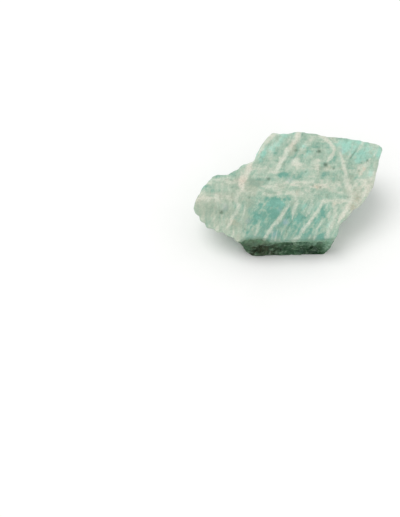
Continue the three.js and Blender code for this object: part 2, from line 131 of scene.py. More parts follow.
# Blue-green patches: u, v, half length, half width, angle, strength.
TEAL = [
    (-4.2, -4.6, 4.4, 2.3, 14, 1.0), (-3.8, -7.4, 2.5, 1.7, 60, 0.95), (-8.2, -8.6, 2.3, 1.4, 60, 0.80),
    (-10.4, -9.8, 1.9, 1.3, 60, 0.70), (-8.3, -13.0, 2.2, 1.2, 60, 0.50), (-4.4, -15.6, 2.8, 1.2, 5, 0.66),
    (3.2, -9.4, 3.3, 1.7, 56, 0.90), (4.2, -12.6, 2.5, 1.4, 50, 0.90), (6.9, -6.0, 2.2, 0.9, 56, 0.35),
    (10.9, -7.2, 2.6, 1.1, 60, 0.76), (10.2, -15.2, 2.2, 1.3, 15, 0.95), (6.6, -14.2, 2.0, 1.1, 35, 0.45),
    (15.6, -14.6, 1.8, 0.8, 60, 0.55), (-2.0, -10.6, 2.5, 1.2, 58, 0.62), (-1.4, -9.0, 11.5, 6.0, 6, 0.40),
    (-1.9, 5.1, 1.8, 1.4, 10, 0.90), (2.3, 4.2, 2.3, 1.2, 5, 0.80), (11.9, 5.4, 1.5, 1.2, 70, 0.52),
    (10.2, -1.3, 1.6, 0.9, 20, 0.45), (-5.4, -6.2, 1.7, 1.3, 60, 0.90), (-1.0, -3.2, 1.5, 1.0, 20, 0.80), (9.4, -12.4, 1.8, 1.0, 56, 0.60),
    (1.8, 10.4, 2.0, 1.1, 60, 0.60), (-8.0, 10.6, 1.9, 1.1, 60, 0.40), (4.5, 5.2, 2.2, 0.9, 15, 0.42),
    (-22.3, -0.4, 3.0, 0.6, 5, 0.20), (-27.2, 1.5, 3.8, 0.8, 53, 0.60), (14.8, 3.8, 1.7, 0.9, 70, 0.35), (6.6, 12.6, 2.3, 1.3, 30, 0.48),
    (2.8, 5.9, 2.2, 0.8, 10, 0.40), (14.9, 9.7, 1.2, 0.9, 60, 0.50), (26.6, 8.0, 1.4, 0.8, 70, 0.42),
    (11.2, 8.2, 1.2, 0.9, 30, 0.35), (24.4, 11.0, 1.6, 0.7, 10, 0.40), (17.2, -11.6, 1.2, 0.6, 60, 0.45),
    (4.6, 10.8, 1.4, 1.2, 40, 0.42), (16.2, -12.8, 1.4, 1.0, 60, 0.40), (22.4, 11.4, 3.8, 1.5, 5, 0.42),
    (24.4, 10.4, 3.4, 1.7, 5, 0.58), (17.0, 5.8, 1.8, 0.9, 20, 0.35), (22.2, 3.9, 1.7, 1.0, 20, 0.58),
    (9.6, -8.8, 2.6, 0.7, 56, 0.75), (7.2, -12.6, 2.2, 0.7, 50, 0.60), (13.2, -6.4, 1.2, 0.7, 60, 0.45),
]
# Lighter, mintier patches, and duller, greyer ones: as above.
MINT = [
    (-7.7, 12.4, 2.6, 1.3, 62, 0.62), (-8.6, 9.6, 1.6, 0.9, 60, 0.6), (-2.4, 15.4, 1.8, 1.1, 60, 0.9),
    (18.4, 13.9, 2.8, 2.0, 80, 0.85), (20.9, 13.2, 2.4, 1.8, 20, 0.70), (23.6, 11.8, 3.6, 2.2, 10, 0.66), (22.6, 10.0, 2.2, 1.2, 15, 0.60),
    (28.8, 12.9, 1.9, 2.0, 10, 0.75), (26.0, 13.6, 2.4, 1.6, 20, 0.75), (26.2, 10.8, 2.8, 1.6, 10, 0.62), (23.6, 15.2, 4.4, 1.3, -8, 0.75),
    (16.4, 14.9, 1.8, 1.2, 60, 0.55), (4.8, 14.6, 2.2, 1.7, 50, 0.85), (6.4, 11.2, 1.9, 1.4, 45, 0.60), (-18.0, 5.0, 2.4, 1.2, 10, 0.80), (-1.8, 18.0, 2.4, 0.9, 0, 0.60), (-4.8, 13.8, 2.0, 1.2, 60, 0.75), (-25.0, 4.0, 2.6, 1.0, 40, 0.80),
    (5.0, -5.6, 1.7, 0.9, 56, 0.6), (-21.4, 4.6, 2.6, 0.9, 5, 0.8), (-17.4, 4.6, 1.8, 0.8, 15, 0.7),
    (-14.9, -6.2, 1.7, 0.8, 70, 0.5), (9.2, -9.6, 1.6, 0.8, 56, 0.5), (-10.4, 11.4, 0.7, 2.6, -30, 0.75),
    (-12.6, -12.2, 2.0, 1.2, 60, 0.4), (26.2, 5.2, 1.4, 0.9, 60, 0.4),
    (0.6, -13.6, 1.4, 0.7, 60, 0.4), (12.8, -11.4, 1.6, 0.8, 60, 0.7), (17.0, 10.4, 1.2, 0.8, 70, 0.5),
]
DULL = [
    (-22.8, -6.6, 2.6, 1.6, -5, 0.70), (-18.6, -7.0, 3.2, 2.0, -12, 0.72), (-17.4, -10.6, 2.8, 1.4, -30, 0.85), (-14.4, -11.2, 1.8, 1.1, 40, 0.80), (-2.6, -16.8, 6.5, 0.9, 0, 0.60), (9.9, 7.2, 1.7, 0.8, 0, 0.50), (19.8, 4.0, 1.2, 0.9, 60, 0.40),
    (-11.4, 2.1, 3.4, 1.7, 0, 1.00), (-11.9, -4.2, 2.8, 2.0, 60, 0.70), (-8.0, 2.8, 2.6, 1.3, 5, 0.65), (-15.6, -3.6, 1.8, 1.0, 0, 0.60), (-9.8, -15.6, 3.2, 1.5, 0, 0.85), (-8.4, -13.2, 2.0, 1.0, 60, 0.45), (-11.4, -8.8, 2.0, 1.1, 60, 0.45),
    (5.2, 15.8, 2.0, 1.3, 20, 0.50), (9.2, 14.6, 1.8, 1.2, 40, 0.40), (2.6, 13.4, 1.4, 1.0, 60, 0.45),
    (16.9, 6.8, 1.1, 0.9, 60, 0.45), (-6.4, 3.4, 1.5, 0.9, 10, 0.50), (-13.0, -9.4, 2.0, 1.4, 50, 0.62),
    (21.9, -3.3, 1.6, 1.1, 35, 0.75), (20.2, -5.6, 1.4, 0.9, 40, 0.60), (18.0, -8.6, 1.2, 0.9, 50, 0.60),
    (-3.8, -1.0, 1.6, 0.8, 10, 0.45), (-15.2, -10.6, 1.8, 1.0, 30, 0.55), (3.6, 0.0, 1.8, 0.6, 5, 0.45), (7.2, -15.4, 1.9, 1.1, 30, 0.75),
    (-1.6, 8.0, 1.4, 0.8, 40, 0.35), (5.2, 8.0, 1.0, 0.8, 30, 0.40), (-26.6, -5.4, 1.4, 1.0, 20, 0.45),
]
# Broad, soft differences: u, v, half widths, lighter (above 0) or darker, greener (above 0) or greyer.
TINTS = [
    (-12.5, -3.5, 4.5, 7.5, -0.10, 0.00), (-10.6, 0.8, 3.0, 2.2, -0.04, -0.35), (13.5, 6.4, 7.0, 3.5, 0.02, -0.25),
    (20.2, -0.6, 3.2, 1.8, 0.00, -0.35), (21.1, -5.1, 1.8, 1.6, 0.00, -0.35), (20.1, 3.8, 1.8, 1.6, 0.00, -0.25),
    (-25.0, -5.4, 5.0, 2.8, 0.00, -0.20), (-2.6, -13.6, 4.5, 2.6, 0.00, -0.30), (7.0, -14.6, 2.4, 1.6, 0.00, -0.30),
    (-3.6, -4.2, 3.2, 3.0, -0.12, 0.10), (6.8, -5.2, 3.4, 2.4, 0.00, 0.30), (18.6, 13.8, 2.6, 1.8, 0.05, 0.35),
    (5.4, 5.4, 2.2, 2.8, 0.00, 0.25), (-10.4, -8.2, 1.6, 1.6, -0.04, 0.30), (-25.4, 3.0, 3.6, 2.6, 0.06, 0.35),
    (-21.5, 3.0, 3.0, 1.6, 0.10, 0.30), (-2.4, 17.2, 4.4, 1.6, 0.02, 0.35), (-5.2, 13.8, 3.0, 1.8, 0.02, 0.20),
    (24.0, 13.4, 6.0, 2.8, 0.08, 0.10), (27.6, 13.2, 2.0, 2.4, 0.12, 0.10), (-15.4, -9.7, 2.6, 2.4, -0.20, 0.00),
    (-9.2, -15.8, 4.0, 1.6, -0.16, 0.00), (-11.5, -0.6, 2.0, 1.6, 0.00, -0.30), (-4.4, -15.8, 3.4, 1.2, 0.00, -0.40),
    (1.9, 13.1, 1.8, 2.0, 0.00, -0.30), (-13.7, -8.0, 1.6, 1.8, 0.00, -0.30), (18.2, -0.3, 1.6, 1.4, 0.00, -0.20),
    (25.2, 5.2, 2.4, 2.0, 0.00, 0.30), (24.6, 11.5, 2.4, 1.6, 0.00, 0.15), (-4.6, -3.6, 2.6, 1.9, -0.16, 0.00),
    (27.4, 14.0, 1.8, 1.8, 0.16, 0.00), (26.6, 0.6, 1.6, 2.0, 0.20, 0.00), (-10.4, 1.6, 1.8, 1.4, 0.00, -0.25),
    (-14.5, 1.0, 3.2, 5.5, -0.08, -0.05), (-10.0, -10.6, 3.0, 2.8, -0.10, -0.10), (24.2, 4.4, 3.4, 2.0, -0.08, 0.10),
    (-5.4, 15.6, 1.6, 1.6, 0.12, 0.00), (14.0, 16.9, 2.6, 1.2, 0.08, -0.35), (1.2, 12.4, 1.4, 2.4, 0.00, -0.30),
    (-6.7, -0.6, 1.8, 1.2, 0.00, -0.25), (-8.0, -8.0, 1.4, 1.4, 0.00, -0.25), (-9.8, 12.4, 1.4, 2.6, 0.00, 0.35),
    (-14.0, 8.2, 2.2, 1.2, 0.00, 0.35), (-27.4, 1.0, 2.0, 2.0, 0.00, 0.30), (-3.8, 18.5, 2.4, 1.0, 0.00, 0.30),
    (29.2, 11.5, 1.2, 1.8, 0.00, 0.35), (16.3, -4.1, 1.6, 1.4, 0.00, -0.25), (20.6, -6.0, 1.8, 1.4, 0.14, 0.00),
    (23.2, -1.0, 1.4, 1.4, 0.12, 0.00), (-20.0, -7.0, 2.0, 1.6, -0.08, 0.00), (-15.6, -2.4, 3.4, 2.0, 0.00, -0.20),
    (2.6, -15.2, 4.0, 2.4, 0.00, -0.25), (19.6, 3.6, 3.2, 3.2, 0.00, -0.15), (27.0, 9.6, 2.4, 1.4, 0.00, -0.20),
    (21.6, 14.6, 3.6, 1.8, 0.00, 0.20), (24.0, 10.6, 3.4, 1.6, 0.00, 0.20), (-10.2, -8.9, 1.8, 1.8, -0.10, 0.00),
    (18.0, 14.4, 1.8, 1.2, -0.07, 0.00), (22.6, 10.2, 2.4, 2.4, -0.09, 0.00), (27.8, 14.6, 1.6, 1.6, 0.09, 0.00),
    (27.8, 9.0, 1.4, 1.8, 0.09, 0.00), (21.8, -0.8, 1.8, 1.8, 0.08, -0.20), (18.4, -4.8, 3.0, 1.3, 0.07, -0.15),
    (5.0, -14.4, 1.8, 2.0, -0.08, 0.00), (-4.2, -14.6, 1.4, 2.2, -0.08, 0.00), (10.2, -14.4, 1.5, 1.4, -0.07, 0.00),
    (-20.0, -7.6, 2.2, 1.6, -0.07, 0.00), (-15.4, -9.8, 2.0, 1.8, -0.07, 0.00), (-13.4, 2.8, 1.8, 2.6, -0.09, 0.00),
    (-10.4, 9.6, 1.6, 2.0, 0.07, 0.15), (-1.0, 14.6, 2.4, 1.4, 0.06, 0.00), (-4.8, 16.2, 1.6, 1.4, 0.07, 0.00),
    (1.4, 12.8, 1.4, 3.0, 0.05, -0.20), (5.8, 5.4, 1.6, 2.2, 0.00, 0.22), (-1.8, -4.2, 2.4, 2.0, 0.00, 0.22),
    (6.8, -6.8, 2.4, 1.6, -0.02, 0.22), (12.8, -5.8, 1.2, 1.8, 0.00, 0.20), (24.6, -1.6, 1.4, 3.6, 0.02, 0.18),
    (12.0, 7.6, 2.4, 1.4, 0.00, -0.18), (17.0, 7.4, 2.2, 1.4, 0.00, -0.15), (25.4, 7.4, 2.0, 1.4, 0.00, -0.20),
    (3.8, -2.4, 2.0, 1.6, 0.00, -0.18), (-8.8, 2.6, 2.6, 1.2, 0.00, -0.15), (-1.2, 1.2, 2.2, 1.2, 0.00, -0.15),
    (-1.4, -11.2, 2.2, 1.4, 0.00, -0.18), (3.8, -12.6, 1.4, 1.6, 0.00, -0.15), (-10.4, -13.4, 2.6, 1.8, 0.00, -0.18),
    (-24.0, 0.6, 4.6, 1.2, 0.00, 0.20), (-8.0, 11.0, 1.8, 1.8, 0.00, 0.15), (20.6, 0.4, 2.2, 2.2, 0.00, -0.15),
    (21.9, -1.0, 1.2, 1.2, 0.08, 0.00), (16.4, -11.0, 1.0, 1.8, 0.12, 0.00), (25.8, 0.4, 1.4, 1.6, 0.10, 0.00),
    (-14.0, 8.2, 2.2, 1.2, 0.00, 0.15), (-4.4, 18.2, 2.2, 1.0, 0.00, 0.20), (-9.6, 13.0, 1.2, 2.0, -0.05, 0.20),
    (14.2, 16.6, 2.2, 1.2, 0.00, -0.20), (3.0, 18.4, 2.6, 1.0, -0.05, 0.20), (-27.4, 1.0, 1.8, 1.8, -0.10, 0.20),
    (3.2, -13.2, 1.6, 1.4, 0.00, -0.15), (-8.0, -8.0, 1.4, 1.4, 0.00, -0.15), (9.0, -9.0, 1.6, 1.4, 0.00, -0.15),
    (-24.0, 4.4, 2.2, 1.4, -0.12, 0.25), (-5.6, 17.8, 1.8, 1.2, -0.10, 0.15), (2.2, 18.8, 2.2, 0.9, -0.12, 0.00),
]
# Dark pits: u, v, radius, depth, darkness.
PITS = [
    (12.2, 8.1, 0.62, 0.70, 1.0), (10.0, 12.3, 0.60, 0.55, 0.85), (14.6, 6.9, 0.45, 0.40, 0.55),
    (2.7, 12.6, 0.48, 0.40, 0.60), (-21.1, -7.2, 0.60, 0.50, 0.66), (-6.1, 3.5, 0.50, 0.40, 0.60),
    (10.4, 0.9, 0.38, 0.30, 0.50), (25.4, 9.4, 0.40, 0.35, 0.55), (9.6, 13.4, 0.34, 0.20, 0.30),
    (16.4, 3.1, 0.34, 0.25, 0.30), (-12.2, -2.3, 0.36, 0.25, 0.30), (12.4, -1.9, 0.42, 0.25, 0.45),
    (-17.9, 0.8, 0.34, 0.20, 0.25), (-24.4, -6.0, 0.45, 0.18, 0.14),
]
# Rust, pink and lilac stains: u, v, radius, strength.
RUST = [(24.2, 6.9, 0.75, 0.50), (23.2, 5.6, 1.1, 0.30), (-8.9, -17.8, 1.2, 0.55), (9.3, 1.2, 0.9, 0.40),
        (-14.2, 3.0, 1.2, 0.25), (1.2, 14.4, 1.1, 0.22), (13.0, 7.4, 0.8, 0.30), (-17.0, -10.4, 1.1, 0.30),
        (15.0, -4.2, 1.0, 0.22), (20.6, -6.6, 0.9, 0.30), (2.9, -1.0, 0.8, 0.25), (21.9, -2.6, 1.5, 0.26), (20.6, -5.2, 1.3, 0.28)]
LILAC = [(-0.7, -10.2, 1.0, 0.85), (-4.3, -14.2, 1.3, 0.50), (-12.8, -9.8, 1.0, 0.35), (0.6, 3.2, 1.1, 0.35),
         (-20.0, -5.4, 1.2, 0.35), (-2.6, -6.2, 0.7, 0.40), (17.0, 12.6, 0.9, 0.35)]
# Thin cracks in the broad face: centre line, half width, depth.
CRACKS = [
    ([(22.1, 13.4), (21.1, 11.8), (19.9, 10.0)], 0.24, 0.22),
    ([(24.6, 13.0), (23.6, 11.2), (23.1, 10.0)], 0.18, 0.12),
    ([(1.9, -8.7), (0.9, -10.9), (-0.3, -12.8), (-0.9, -15.4)], 0.20, 0.15),
    ([(-17.9, -1.0), (-17.5, -4.0), (-18.0, -6.6)], 0.20, 0.15),
    ([(-23.1, -3.8), (-22.9, -6.2), (-22.2, -9.0)], 0.18, 0.12),
]
# Ledges: the face drops a little on the right of each line, and comes back over a reach.
LEDGES = [
    ([(1.9, -3.4), (0.0, -6.6), (-2.8, -10.6), (-5.4, -14.0), (-7.6, -17.8)], 0.20, 3.2),
    ([(12.2, -3.2), (9.0, -8.8), (5.8, -13.0), (1.4, -18.0)], 0.18, 2.8),
    ([(18.2, 10.6), (18.9, 6.6), (19.8, 2.6), (21.4, -1.6)], 0.16, 5.0),
    ([(4.4, 17.8), (1.6, 13.6), (-0.6, 10.0), (-2.4, 6.6)], 0.14, 2.6),
    ([(-13.4, 7.6), (-14.0, 4.0), (-13.8, 1.2)], 0.18, 3.0),
    ([(-15.0, -1.4), (-14.9, -5.2), (-16.6, -9.6)], 0.16, 2.4),
]


# ----------------------------------------------------------------------------
# Noise, on arrays of points
# ----------------------------------------------------------------------------
def _mix(h):
    h = (h ^ (h >> np.uint32(16))) * np.uint32(0x7FEB352D)
    h = (h ^ (h >> np.uint32(15))) * np.uint32(0x846CA68B)
    return h ^ (h >> np.uint32(16))


def chance(ix, iy, iz, seed):
    """A number from 0 to 1 for each cell."""
    with np.errstate(over="ignore"):
        h = _mix(ix.astype(np.int64).astype(np.uint32) + np.uint32(seed * 747796405 & 0xFFFFFFFF))
        h = _mix(h ^ (iy.astype(np.int64).astype(np.uint32) * np.uint32(2654435769)))
        h = _mix(h ^ (iz.astype(np.int64).astype(np.uint32) * np.uint32(3266489917)))
    return h.astype(np.float64) / 4294967295.0


def noise(p, seed=0):
    """Smooth noise from -1 to 1."""
    i = np.floor(p)
    f = p - i
    f = f * f * f * (f * (f * 6 - 15) + 10)
    out = np.zeros(len(p))
    for dx in (0, 1):
        for dy in (0, 1):
            for dz in (0, 1):
                w = ((f[:, 0] if dx else 1 - f[:, 0]) * (f[:, 1] if dy else 1 - f[:, 1]) * (f[:, 2] if dz else 1 - f[:, 2]))
                out += w * chance(i[:, 0] + dx, i[:, 1] + dy, i[:, 2] + dz, seed)
    return out * 2 - 1


def fbm(p, octaves=4, seed=0, gain=0.5):
    total, amp, norm = np.zeros(len(p)), 1.0, 0.0
    for k in range(octaves):
        total += amp * noise(p * 2.03 ** k + 17.3 * k, seed + k)
        norm += amp
        amp *= gain
    return total / norm


def cells(p, seed=0):
    """Distance to the nearest and the second nearest of scattered points, and the nearest one's number."""
    i = np.floor(p)
    best = np.full(len(p), 9.0)
    second = best.copy()
    number = np.zeros(len(p))
    for dx in (-1, 0, 1):
        for dy in (-1, 0, 1):
            for dz in (-1, 0, 1):
                c = i + (dx, dy, dz)
                q = c + np.stack([chance(c[:, 0], c[:, 1], c[:, 2], seed + s) for s in (1, 2, 3)], -1)
                d = np.linalg.norm(p - q, axis=1)
                near = d < best
                second = np.where(near, best, np.minimum(second, d))
                number = np.where(near, chance(c[:, 0], c[:, 1], c[:, 2], seed + 4), number)
                best = np.where(near, d, best)
    return best, second, number


def smooth(x, a, b):
    t = np.clip((x - a) / (b - a), 0, 1)
    return t * t * (3 - 2 * t)


def stairs(t, steps, rise):
    """Turns a smooth height into flats with short risers."""
    t = t * steps
    return (np.floor(t) + smooth(t - np.floor(t), 1 - rise, 1.0)) / steps


# ----------------------------------------------------------------------------
# Mesh tools
# ----------------------------------------------------------------------------
def as_mesh(P, F, name):
    me = bpy.data.meshes.new(name)
    me.vertices.add(len(P))
    me.vertices.foreach_set("co", np.asarray(P, np.float32).ravel())
    k = F.shape[1]
    me.loops.add(F.size)
    me.loops.foreach_set("vertex_index", F.astype(np.int32).ravel())
    me.polygons.add(len(F))
    me.polygons.foreach_set("loop_start", np.arange(0, F.size, k, dtype=np.int32))
    me.update(calc_edges=True)
    me.validate()
    return me


def arrays(me):
    P = np.zeros(len(me.vertices) * 3)
    me.vertices.foreach_get("co", P)
    n = len(me.polygons)
    size = np.zeros(n, np.int32)
    me.polygons.foreach_get("loop_total", size)
    v = np.zeros(len(me.loops), np.int32)
    me.loops.foreach_get("vertex_index", v)
    if n and (size == 4).all():
        return P.reshape(-1, 3), v.reshape(-1, 4)
    me.calc_loop_triangles()
    t = np.zeros(len(me.loop_triangles) * 3, np.int32)
    me.loop_triangles.foreach_get("vertices", t)
    return P.reshape(-1, 3), t.reshape(-1, 3)


def remeshed(P, F, voxel):
    me = as_mesh(P, F, "work")
    ob = bpy.data.objects.new("work", me)
    bpy.context.scene.collection.objects.link(ob)
    mod = ob.modifiers.new("even", "REMESH")
    mod.mode = "VOXEL"
    mod.voxel_size = voxel
    mod.adaptivity = 0.0
    made = bpy.data.meshes.new_from_object(ob.evaluated_get(bpy.context.evaluated_depsgraph_get()))
    out = arrays(made)
    bpy.data.objects.remove(ob)
    bpy.data.meshes.remove(me)
    bpy.data.meshes.remove(made)
    return out


def edges_of(F):
    e = np.concatenate([F[:, [k, (k + 1) % F.shape[1]]] for k in range(F.shape[1])])
    e.sort(axis=1)
    return np.unique(e, axis=0)


def neighbour_mean(X, E, count):
    out = np.zeros_like(X)
    for k in range(X.shape[1]):
        out[:, k] = np.bincount(E[:, 0], X[E[:, 1], k], len(X)) + np.bincount(E[:, 1], X[E[:, 0], k], len(X))
    return out / count[:, None]


def relaxed(P, E, times, hold=None, share=0.5, level=None):
    """Draws each vertex towards its neighbours. Where level is 1 it moves only out of the broad face or into it."""
    count = np.bincount(E.ravel(), minlength=len(P)).astype(float)
    Q = P.copy()
    for _ in range(times):
        step = (neighbour_mean(Q, E, count) - Q) * share
        if level is not None:
            step += ((step @ N)[:, None] * N - step) * level[:, None]
        if hold is not None:
            step *= hold[:, None]
        Q += step
    return Q


def normals_of(P, F):
    if F.shape[1] == 4:
        n = np.cross(P[F[:, 2]] - P[F[:, 0]], P[F[:, 3]] - P[F[:, 1]])
    else:
        n = np.cross(P[F[:, 1]] - P[F[:, 0]], P[F[:, 2]] - P[F[:, 0]])
    out = np.zeros_like(P)
    for k in range(F.shape[1]):
        for c in range(3):
            out[:, c] += np.bincount(F[:, k], n[:, c], len(P))
    return out / (np.linalg.norm(out, axis=1)[:, None] + 1e-12)


def unit(x):
    return x / (np.linalg.norm(x, axis=1)[:, None] + 1e-12)


def on_face(P):
    """u, v and the depth behind the face, whose left lobe falls away a little."""
    rel = P - O
    u = rel @ RIGHT
    return u, rel @ UP, -(rel @ N) - 0.085 * np.clip(-11 - u, 0, None)


def line_distance(u, v, line, signed=False):
    """Distance to a line through points (below 0 on its left where signed), how far along it
    (0 to 1) the nearest place is, and its length."""
    pts = np.array(line)
    seg = np.linalg.norm(np.diff(pts, axis=0), axis=1)
    run = np.concatenate([[0], np.cumsum(seg)])
    best, where, side = np.full(len(u), 1e9), np.zeros(len(u)), np.ones(len(u))
    for k in range(len(seg)):
        d = (pts[k + 1] - pts[k]) / seg[k]
        x, y = u - pts[k, 0], v - pts[k, 1]
        t = np.clip(x * d[0] + y * d[1], 0, seg[k])
        dist = np.hypot(x - t * d[0], y - t * d[1])
        near = dist < best
        best = np.where(near, dist, best)
        where = np.where(near, (run[k] + t) / run[-1], where)
        if signed:
            side = np.where(near, np.sign(y * d[0] - x * d[1]), side)
    return best * side, where, run[-1]


# ----------------------------------------------------------------------------
# The stone's surface
# ----------------------------------------------------------------------------
def crystal(P):
    """Coordinates along the streaks, across them, and out of the broad face."""
    u, v, w = on_face(P)
    a = u * math.cos(STREAK_WAY) + v * math.sin(STREAK_WAY)
    b = -u * math.sin(STREAK_WAY) + v * math.cos(STREAK_WAY)
    return np.stack([a, b, -w], -1)


def blocks(q, size, seed):
    """A height for each cleavage block: bricks whose layers lie along the broad face."""
    size = np.array(size)
    zero = np.zeros(len(q))
    layer = np.floor(q[:, 2] / size[2] + chance(zero, zero, zero, seed))
    a = q[:, 0] / size[0] + 7.31 * chance(layer, zero, zero, seed + 1)
    b = q[:, 1] / size[1] + 5.17 * chance(layer, zero + 1, zero, seed + 2)
    row = np.floor(b)
    a = a + 3.77 * chance(row, layer, zero, seed + 3)
    return chance(np.floor(a), row, layer, seed + 4)


def directions(count):
    k = np.arange(count) + 0.5
    z = 1 - 2 * k / count
    r = np.sqrt(1 - z * z)
    turn = math.pi * (1 + math.sqrt(5)) * k
    return np.stack([r * np.cos(turn), r * np.sin(turn), z], -1)


def facets(P, n, q, size, seed, tilt, lift, limit, kinds=26):
    """How far each point moves along its normal to lie on the flat break of its cell."""
    kind = np.argmax(n @ directions(kinds).T, axis=1)
    _, _, number = cells(q / np.array(size), seed)
    _, group = np.unique(np.round(number * 1e7) * 64 + kind, return_inverse=True)
    group = group.reshape(-1)
    count = np.bincount(group).astype(float)
    mean = lambda X: np.stack([np.bincount(group, X[:, k]) for k in range(3)], -1) / count[:, None]
    ids = np.arange(len(count))
    luck = lambda s: chance(ids, ids * 0 + seed, ids * 0, s) * 2 - 1
    m = unit(unit(mean(n)) + tilt * np.stack([luck(1), luck(2), luck(3)], -1))
    c = mean(P) + unit(mean(n)) * (lift * luck(4))[:, None]
    h = ((c[group] - P) * m[group]).sum(1) / np.clip((n * m[group]).sum(1), 0.5, 1)
    return limit * np.tanh(h / limit)


def chipped(P, n, bulge, q, size, seed, share, deep, tilt=0.25):
    """Cuts small flats across the convex edges: one plane for each cell of the edge that is hit."""
    _, _, number = cells(q / np.array(size), seed)
    _, group = np.unique(np.round(number * 1e7), return_inverse=True)
    group = group.reshape(-1)
    edge = np.clip(bulge, 0, None) ** 2 + 1e-12
    total = np.bincount(group, edge)
    mean = lambda X: np.stack([np.bincount(group, X[:, k] * edge) for k in range(3)], -1) / total[:, None]
    ids = np.arange(len(total))
    luck = lambda s: chance(ids, ids * 0 + seed, ids * 0, s)
    m = unit(unit(mean(n)) + tilt * (np.stack([luck(1), luck(2), luck(3)], -1) * 2 - 1))
    c = mean(P)
    most = np.zeros(len(total))
    np.maximum.at(most, group, ((P - c[group]) * m[group]).sum(1))         # how far the edge stands out
    cut = most * (1 - deep * (0.3 + 0.7 * luck(4))) * (most < 2.5)
    on = (luck(5) < share) & (total > np.percentile(total, 40))
    over = ((P - c[group]) * m[group]).sum(1) - cut[group]
    return np.where(on[group], np.clip(over, 0, 0.9), 0)[:, None] * -m[group]


def front_break(P, n):
    """1 on the low front break, 0 elsewhere."""
    _, _, w = on_face(P)
    out = FRONT_N / np.linalg.norm(FRONT_N)
    d = (P - FRONT_P) @ out
    reach = 2.5 + 1.6 * smooth(n @ out, 0.20, 0.75) + 1.7 * smooth(P[:, 2], 9.0, 4.5) + 2.3 * fbm(P / 2.6, 4, 320, 0.6)
    broad = smooth(n @ N, 0.60, 0.78) * smooth(w, 1.9, 1.0)
    return smooth(d + reach, 0.0, 3.2) * (1 - broad)


def sheets(P, w):
    """Where on the broad face the layer through each point comes out: the layers lean as they go down."""
    u, v, _ = on_face(P)
    deep = np.clip(w, 0, None)
    wob = np.minimum(deep, 7) * 0.11 + 0.14
    u = u - 0.20 * deep + wob * fbm(P / 4.5, 3, 31) * 1.5 + 0.16 * fbm(P / 1.3, 2, 34)
    v = v + 0.12 * deep + wob * fbm(P / 4.5 + 9.1, 3, 41) * 1.5 + 0.16 * fbm(P / 1.3 + 4.7, 2, 44)
    return u, v


def streak_mask(P, w):
    """How much albite there is: 1 in the middle of a streak."""
    su, sv = sheets(P, w)
    out = np.zeros(len(P))
    deep = smooth(w, 16, 7)
    q = crystal(P)
    patch = 0.92 + 0.42 * fbm(np.stack([q[:, 0] / 2.4, q[:, 1] / 1.1, q[:, 2] / 3.0], -1), 3, 330)
    thin = 0.45 * fbm(P / 0.7, 3, 335) + 1.0 * fbm(np.stack([q[:, 0] / 4.0, q[:, 1] / 0.5, q[:, 2] / 4.0], -1), 3, 338)
    for k, (line, w0, w1, strength, blunt) in enumerate(STREAKS):
        pts = np.array(line)
        lo, hi = pts.min(0) - 3, pts.max(0) + 3
        near = np.nonzero((su > lo[0]) & (su < hi[0]) & (sv > lo[1]) & (sv < hi[1]))[0]
        if not len(near):
            continue
        d, where, length = line_distance(su[near], sv[near], line)
        run = where * length
        half = w0 + (w1 - w0) * where
        half = half * (1 + 0.34 * noise(np.stack([run / 1.7, run * 0 + 7.7 * k, run * 0], -1), 340))
        if "s" not in blunt:
            half = half * (0.35 + 0.65 * smooth(run, 0.0, 1.8))
        if "e" not in blunt:
            half = half * (0.35 + 0.65 * smooth(length - run, 0.0, 1.8))
        edge = (d + 0.10 * thin[near]) / half + 0.11 * thin[near]
        out[near] = np.maximum(out[near], strength * smooth(edge, 1.95, 0.25) * np.clip(patch[near], 0.60, 1.05))
    return out * deep


